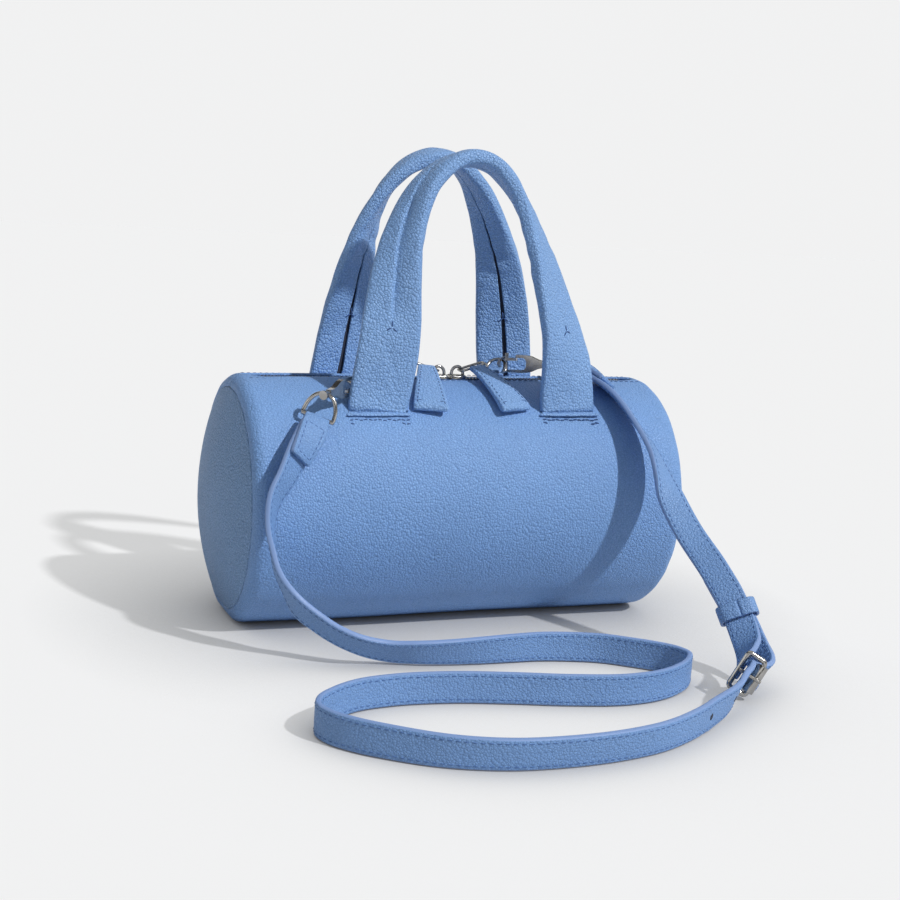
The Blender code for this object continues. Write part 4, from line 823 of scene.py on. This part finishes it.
def handle_feet(label, front):
    """Each foot: the leg's lower end down to the barrel, with a thin rolled lip along it and stitches under the lip."""
    deep, roll, half, bevel = HANDLE_THICK * THICKS[0, 1] / 2, 0.00075, 0.0169, 0.0003
    xs = linspace(-half + bevel * 3, half - bevel * 3, 40)
    xs = concatenate([[-half, -half + bevel], xs, [half - bevel, half]])
    for end, side in SIDES.items():
        base_x = HANDLE_PATH[0 if side < 0 else -1, 0] * HANDLE_SPAN / 2
        moved = leg_shift(0.0, base_x, front)
        base_x, base_y = base_x + moved[0], HANDLE_BASE_Y - moved[1]
        inner, outer = base_y - deep, base_y + deep + 0.0002
        lip_y = outer + 0.0009
        top, low = HANDLE_BASE_Z - 0.00004, top_z(lip_y) + GAP * 2 + roll
        under, turns = linspace(inner + 0.0005, lip_y - roll * 0.3, 8), linspace(0.5, 2.7, 10)
        outline = concatenate([
            together(under, top_z(under) + GAP * 2), together(lip_y + roll * sin(turns), low - roll * cos(turns)),
            [(outer, low + roll * 1.15), (outer, top - 0.0001), (outer - 0.0001, top), (inner + 0.0005, top)],
        ]) * (-front, 1)
        y, z = outline.T
        lower = clip((top - z) / (top - low), 0, 1)
        wavy = 0.00016 * sin(xs * 620 + side) + 0.00022 * sin(xs * 230 + 2 * front) + 0.00025
        middle_y, middle_z = outline.mean(axis=0)
        shrink = np.ones((len(xs), 1))
        shrink[[0, -1]], shrink[[1, -2]] = 0.80, 0.95
        drawn = front * wavy[:, None] * (z < top - 0.0005) * lower ** 2
        rings = together(base_x + xs[:, None] * (0.925 + 0.10 * lower ** 2),
                         middle_y + (y - middle_y) * shrink - drawn, middle_z + (z - middle_z) * shrink)
        foot = tube(f"{label}_foot_{end}", rings, HANDLE_SKIN_PAINTED_LIGHTER, "bag", f"{label}_welt_{end}")
        foot.data.set_sharp_from_angle(angle=math.radians(50))
        rows = []
        for step, start, stop in ((0.0011, -1.0, 1.0), (0.0026, 0.72, 1.0), (0.0026, -1.0, -0.80)):
            share = linspace(start, stop, 30)
            drift = 0.00022 * sin(share * 17 + side * front) + 0.00015 * sin(share * 41)
            place = on_barrel(base_x + share * (half - 0.0006), -front * (lip_y + step + drift), 0.00005)
            rows.append(stitch_row(*place, 0.0027))
        stitches(f"{label}_foot_stitches_{end}", rows, 0.0024, 0.00034, THREAD_SKIN, "bag")


for label, front in FRONTS.items():
    handle(label, front)

# Clasps: leather loops on the bag, D-rings, and the strap's eyes with their swivelling hooks.
LOOP, LOOP_SLACK = 0.0012, 0.0003
LOOP_AT = {"left": ((-0.0415, -0.0082, 0.0), (-0.74, -0.67, 0.0), 0.0199),
           "right": ((0.0293, 0.0082, 0.0), (0.58, 0.81, 0.0), 0.0130)}
RING_AT = {"left": ((-0.05625, -0.02261, 0.12825), (0.6248, -0.7231, -0.2945), 0.12),
           "right": ((0.03687, 0.01969, 0.12939), (-0.7828, 0.5876, -0.2047), 0.85)}
EYE_AT = {"left": ((-0.0876, -0.0474, 0.1150), (0.850, -0.445, -0.282), (0.3432, 0.0625, 0.9376)),
          "right": ((0.0740, -0.0040, 0.1370), (0.70, 0.71, 0.0), (-0.7102, 0.7002, -0.0640))}


def d_wire(name, at, bar_way, up, width, height, steps, power, radius, body, stands_for):
    """A wire D: a straight bar and an arch over it, |cos| and sin raised to the same power."""
    arch = oval(linspace(0, math.pi, steps), power, power) * (width / 2, height)
    bar = together(linspace(-width / 2, width / 2, 12)[1:-1], 0)
    x = unit(bar_way)
    return wire(name, laid(array(at), x, squared(up, x), concatenate([arch, bar])), radius, body, stands_for)


def ring_loop(label):
    """A strip of leather from the bag, round the D-ring's bar and back: lengths along it and heights over the bag."""
    start, way, run = LOOP_AT[label]
    way = unit(way)
    fold = 0.0010 + LOOP_SLACK + LOOP / 2
    low = GAP + LOOP / 2
    high, bar = low + LOOP + LOOP_SLACK, low + fold
    turns = linspace(-math.pi / 2, math.pi / 2, 18)
    course = concatenate([
        together(run * linspace(0, 0.85, 12), low), together(run + fold * cos(turns), bar + fold * sin(turns)),
        [(run - fold, bar + fold * 0.55)], together(run * linspace(0.55, 0, 8), high)])
    course = smooth_path(together(*course.T, 0), 70)[:, None]
    offsets = linspace(-0.0042, 0.0042, 9)[:, None]
    flat = array(start) + way * course[..., :1] + array([-way[1], way[0], 0.0]) * offsets
    grid, _ = on_barrel(flat[..., 0], flat[..., 1], course[..., 1])
    strip = piece(f"bag_loop_{label}", grid, quads(*grid.shape[:2]), HANDLE_SKIN_PAINTED_LIGHTER, "bag", f"ring_loop_{label}")
    walled(strip, LOOP, 0.0)


for label in SIDES:
    ring_loop(label)
for label in SIDES:
    at, bar_way, lift = RING_AT[label]
    d_wire(f"ring_{label}", at, bar_way, unit(LOOP_AT[label][1]) + (0, 0, lift), 0.012, 0.0105, 40, 0.8, 0.0010,
           f"d_ring_{label}", f"d_ring_{label}")
    d_wire(f"strap_eye_{label}", *EYE_AT[label], 0.0162, 0.0125, 60, 0.9, 0.0011, "bag", f"eye_{label}")
    smoothed(f"hook_{label}", f"claw_{label}", 0.00030)
    smoothed(f"hook_latch_{label}", f"trigger_{label}", 0.00022)


# Strap: two flat lengths, their folded ends, a roller buckle and a keeper.
SEWN_AT = STRAP_THICK / 2 + 0.00002


def ribbon(name, route, count, nodes):
    """A flat strap: a box with round corners carried along the route, its band attribute across, out and along."""
    table = smooth_path(route, count)
    points = table[:, :3]
    lean = exp(-((table[:, 1] + 0.240) / 0.022) ** 2) * (table[:, 0] < 0.05)
    across, normal = frames_along(points, table[:, 3:] - lean[:, None] * [0, 0.24, 0])
    box = rounded_box(STRAP_WIDTH / 2, STRAP_THICK / 2, 0.0009)
    crown = array([(STRAP_WIDTH / 4, STRAP_THICK / 2), (0, STRAP_THICK / 2 + 0.00008),
                   (-STRAP_WIDTH / 4, STRAP_THICK / 2)])
    box = concatenate([box[:4], crown, box[4:12], -crown, box[12:]])
    run = run_of(points)
    grid = sweep(points, across, normal, box, together(interp(run, (0, 0.003, 0.009), (0.86, 0.90, 1.0)), 1))
    obj = tube(name, grid, STRAP_SKIN, "bag", nodes, together(*box.T, run[:, None]))
    rows = [stitch_row(points + across * edge * 0.0056 + normal * face * SEWN_AT, normal * face, 0.0034, 0.004)
            for face in (-1, 1) for edge in (-1, 1)]
    sewn = stitches(f"{name}_stitches", rows, 0.0026, 0.00024, STRAP_THREAD_SKIN, "bag")
    return obj, sewn, points, run[-1], across, normal


def folded_end(name, points, across, normal, length, face):
    """The strap's doubled end: a second thickness on one face, as long as the fold, with a rectangle of stitches."""
    wanted = linspace(0.0, length, 40)
    middle, side, out = (read_at(wanted, run_of(points), values) for values in (points, across, normal))
    side, out = unit(side), unit(out) * face
    share = wanted / length
    middle = middle + out * (STRAP_THICK * 1.02 * interp(share, (0, 0.10, 1), (0.75, 1.0, 1.0)))[:, None]
    box = rounded_box(STRAP_WIDTH / 2 - 0.0002, STRAP_THICK / 2, 0.0009)
    scale = together(interp(share, (0, 0.12, 0.35, 0.97, 1), (0.86, 0.90, 1, 1, 0.93)),
                     interp(share, (0, 0.97, 1), (1, 1, 0.8)))
    band = together(box[:, 0], 0, wanted[:, None])
    obj = tube(name, sweep(middle, side, out, box, scale), STRAP_SKIN, "bag", "", band)
    top = middle + out * SEWN_AT
    keep = (share > 0.28) & (share < 0.90)
    rows = [stitch_row((top + side * edge * 0.0050)[keep], out[keep], 0.0030) for edge in (-1, 1)]
    for spot in (0.28, 0.90):
        index = int(np.argmin(np.abs(share - spot)))
        rows.append(stitch_row(top[index] + side[index] * linspace(-0.005, 0.005, 12)[:, None], out[index], 0.0030))
    return [obj, stitches(f"{name}_stitches", rows, 0.0024, 0.00024, STRAP_THREAD_SKIN, "bag")]


long_strap, long_sewn, long_points, long_length, long_across, long_normal = ribbon(
    "strap_leather_long", LONG_ROUTE, 480, "strap_long strap_long_end")
short_strap, short_sewn, short_points, short_length, short_across, short_normal = ribbon(
    "strap_leather_short", SHORT_ROUTE, 140, "strap_short")
ends = folded_end("long_fold", long_points, long_across, long_normal, 0.026, sign(long_normal[20] @ VIEWER))
ends_short = folded_end("short_fold", short_points, short_across, short_normal, 0.024, sign(short_normal[6, 2]))

# The buckle: its roller, the direction along it, and the two square to that, towards the viewer and to its far bar.
ROLLER_AT, ROLLER_WAY = array([0.0965, -0.1785, 0.0105]), unit((0.513, -0.041, 0.857))
BUCKLE_FACING = squared(VIEWER, ROLLER_WAY)
HEEL_WAY, HEEL_REACH = cross(BUCKLE_FACING, ROLLER_WAY), 0.0095
HOLE_STEP, HOLE_RADIUS = 0.029, 0.0016


def strap_hole(count):
    """An adjusting hole, this many steps along the long strap from the buckle's middle.

    It is drawn as a dark round plug, 0.1 mm proud of both faces, and not cut through: its dark is painted shade in the
    hole.
    """
    run = run_of(long_points)
    crossing = int(np.argmin(np.linalg.norm(long_points - (ROLLER_AT + HEEL_WAY * HEEL_REACH / 2), axis=1)))
    spot = int(np.searchsorted(run, run[crossing] - HOLE_STEP * count))
    ahead, across, out = (unit(way) for way in (long_points[spot + 1] - long_points[spot - 1], long_across[spot],
                                                long_normal[spot]))
    high = (STRAP_THICK / 2 + 0.0001) * out
    rings = array([laid(long_points[spot] + rise, ahead, across, HOLE_RADIUS * oval(around(20)))
                   for rise in (-high, high)])
    return tube(f"strap_hole_{count}", rings, FELT_AND_HOLE_SHADE_SKIN, "bag")


hole_shade_plugs = [strap_hole(count) for count in (1, 2)]


def keeper_band():
    """The keeper: a flat leather band round both straps, a rounded wall carried round a rounded box.

    Its ends meet on the outer face, where it swells by 0.9 mm beside a crease along the strap.
    """
    x = unit((0.10, -0.62, -0.78))
    y = squared(array([0.80, -0.22, 0.555]), x)
    z = cross(x, y)
    wall = 0.0007
    ring = rounded_box(0.0088 + wall, 0.0042 + wall, 0.0034, 12)
    ring = concatenate([ring, ring[:1]])
    run = run_of(ring)
    ring = read_at(linspace(0, run[-1], 150, endpoint=False), run, ring)
    beside = (ring[:, 0] - 0.0012) ** 2
    swell = 0.0009 * (1 - exp(-beside / 0.0007 ** 2)) * clip(1 - (ring[:, 0] / 0.0092) ** 2, 0, 1)
    swell = swell - 0.0004 * exp(-beside / 0.0005 ** 2)
    outer = sign(z @ VIEWER)
    ring[:, 1] += swell * outer * clip(ring[:, 1] * outer / 0.0040, 0, 1) ** 4
    middle = laid(array([0.1097, -0.1376, 0.0315]), y, z, ring)
    box = rounded_box(0.00425, wall, 0.0005)
    rings = sweep(middle, np.broadcast_to(x, middle.shape), cross(ways_along(middle, True), x), box)
    band = together(np.broadcast_to(box[:, 0] * 1.72, rings.shape[:2]), 0, 0)
    return tube("keeper_leather", rings, STRAP_SKIN, "keeper", "keeper", band, True)


def buckle_metal():
    """The buckle's frame, a round wire along a rectangle with round corners, then its roller and its prong."""
    ring = rounded_box(0.0094, HEEL_REACH / 2, 0.0016, 8, (0, HEEL_REACH / 2))
    heel = wire("buckle_wire", laid(ROLLER_AT, ROLLER_WAY, HEEL_WAY, ring), 0.0013, "bag", "buckle_frame")
    ends = ((0.0074, 0.0022), (0.0073, 0.0027), (0.0070, 0.0028))
    rings = [laid(ROLLER_AT + ROLLER_WAY * place, BUCKLE_FACING, HEEL_WAY, radius * oval(around(64)))
             for place, radius in [(-place, radius) for place, radius in ends] + list(ends[::-1])]
    roller = tube("roller_tube", array(rings), METAL_SKIN, "buckle_roller", "buckle_roller")
    roller.data.set_sharp_from_angle(angle=math.radians(35))
    return [heel, roller, smoothed("prong", "buckle_prong", 0.00020, 40)]


keeper = keeper_band()
buckle = buckle_metal()

# Solids that keep their own shape.
for name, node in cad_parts.items():
    if "stiffener" in name or "patch" in name:
        node.data.materials.clear()
        node.data.materials.append(BOARD_SKIN[0])


# Floor, background and lights.
def stage():
    """A pale floor that keeps the object's shadow, paler to the camera than its light alone would make it. Its glow
    dims near the object by ambient occlusion: painted contact shade.
    """
    mesh = bpy.data.meshes.new("floor")
    size = 4.0
    mesh.from_pydata([(-size, -size, 0), (size, -size, 0), (size, size, 0), (-size, size, 0)], [], [(0, 1, 2, 3)])
    floor = bpy.data.objects.new("floor", mesh)
    bpy.context.scene.collection.objects.link(floor)
    floor.location.z = -0.0002
    card = Nodes(bpy.data.materials.new("floor_card"))
    rays = card.node("LightPath")
    seen = rays.out("Is Camera Ray") + rays.out("Is Glossy Ray") * 0.75
    # Ambient occlusion dims the floor's glow under and beside the object: painted contact shade.
    near = card.node("AmbientOcclusion", {"Distance": 0.10}, samples=8).out("AO")
    lit, plain = (card.node("BsdfDiffuse", {"Color": colour})
                  for colour in ((0.42, 0.42, 0.425), (0.68, 0.68, 0.68)))
    glow_with_painted_contact_shade = card.node("Emission", {"Color": (0.981, 0.978, 0.964), "Strength": 0.505 * near ** 1.3})
    added = card.node("AddShader", {0: lit, 1: glow_with_painted_contact_shade})
    chosen = card.node("MixShader", {0: seen, 1: plain, 2: added})
    card.node("OutputMaterial", {"Surface": chosen})
    mesh.materials.append(card.owner)


def sky():
    """Even studio light, brighter overhead; bright and dark bands in reflections; a plain pale background."""
    world = bpy.data.worlds.new("studio")
    bpy.context.scene.world = world
    air = Nodes(world)
    path = air.node("LightPath")
    height = air.node("SeparateXYZ", {0: air.node("TexCoord").out("Generated")}).out("Z")
    even = air.ramp(height, [(0.0, (0.15, 0.16, 0.18)), (0.8, (0.405, 0.415, 0.425))])
    levels = ((0.10, 0.88), (0.15, 0.04), (0.34, 0.04), (0.39, 1.2), (0.56, 1.2), (0.61, 0.04), (0.84, 0.04))
    stops = [(place, (level, level, level * 0.98)) for place, level in levels]
    bands = air.ramp(height, [(0.0, (0.88, 0.88, 0.885)), *stops, (1.0, (1.0, 1.0, 1.0))])
    light, gleam, shown = (air.node("Background", {"Color": colour})
                           for colour in (even, bands, (0.880, 0.882, 0.885)))
    mirrored = air.node("MixShader", {0: path.out("Is Glossy Ray"), 1: light, 2: gleam})
    chosen = air.node("MixShader", {0: path.out("Is Camera Ray"), 1: mirrored, 2: shown})
    air.node("OutputWorld", {"Surface": chosen})


def lamps():
    """The key lamp from the front right, halfway up, with soft shadow edges."""
    data = bpy.data.lights.new("key", "SUN")
    data.energy, data.angle = 2.60, math.radians(2.2)
    back = unit((0.4255, -0.590, 0.686))
    right = unit(cross((0, 0, 1), back))
    placed("key", data, (right, cross(back, right), back), (0, 0, 0))


stage()
sky()
lamps()
bpy.context.scene.view_settings.view_transform = "Standard"
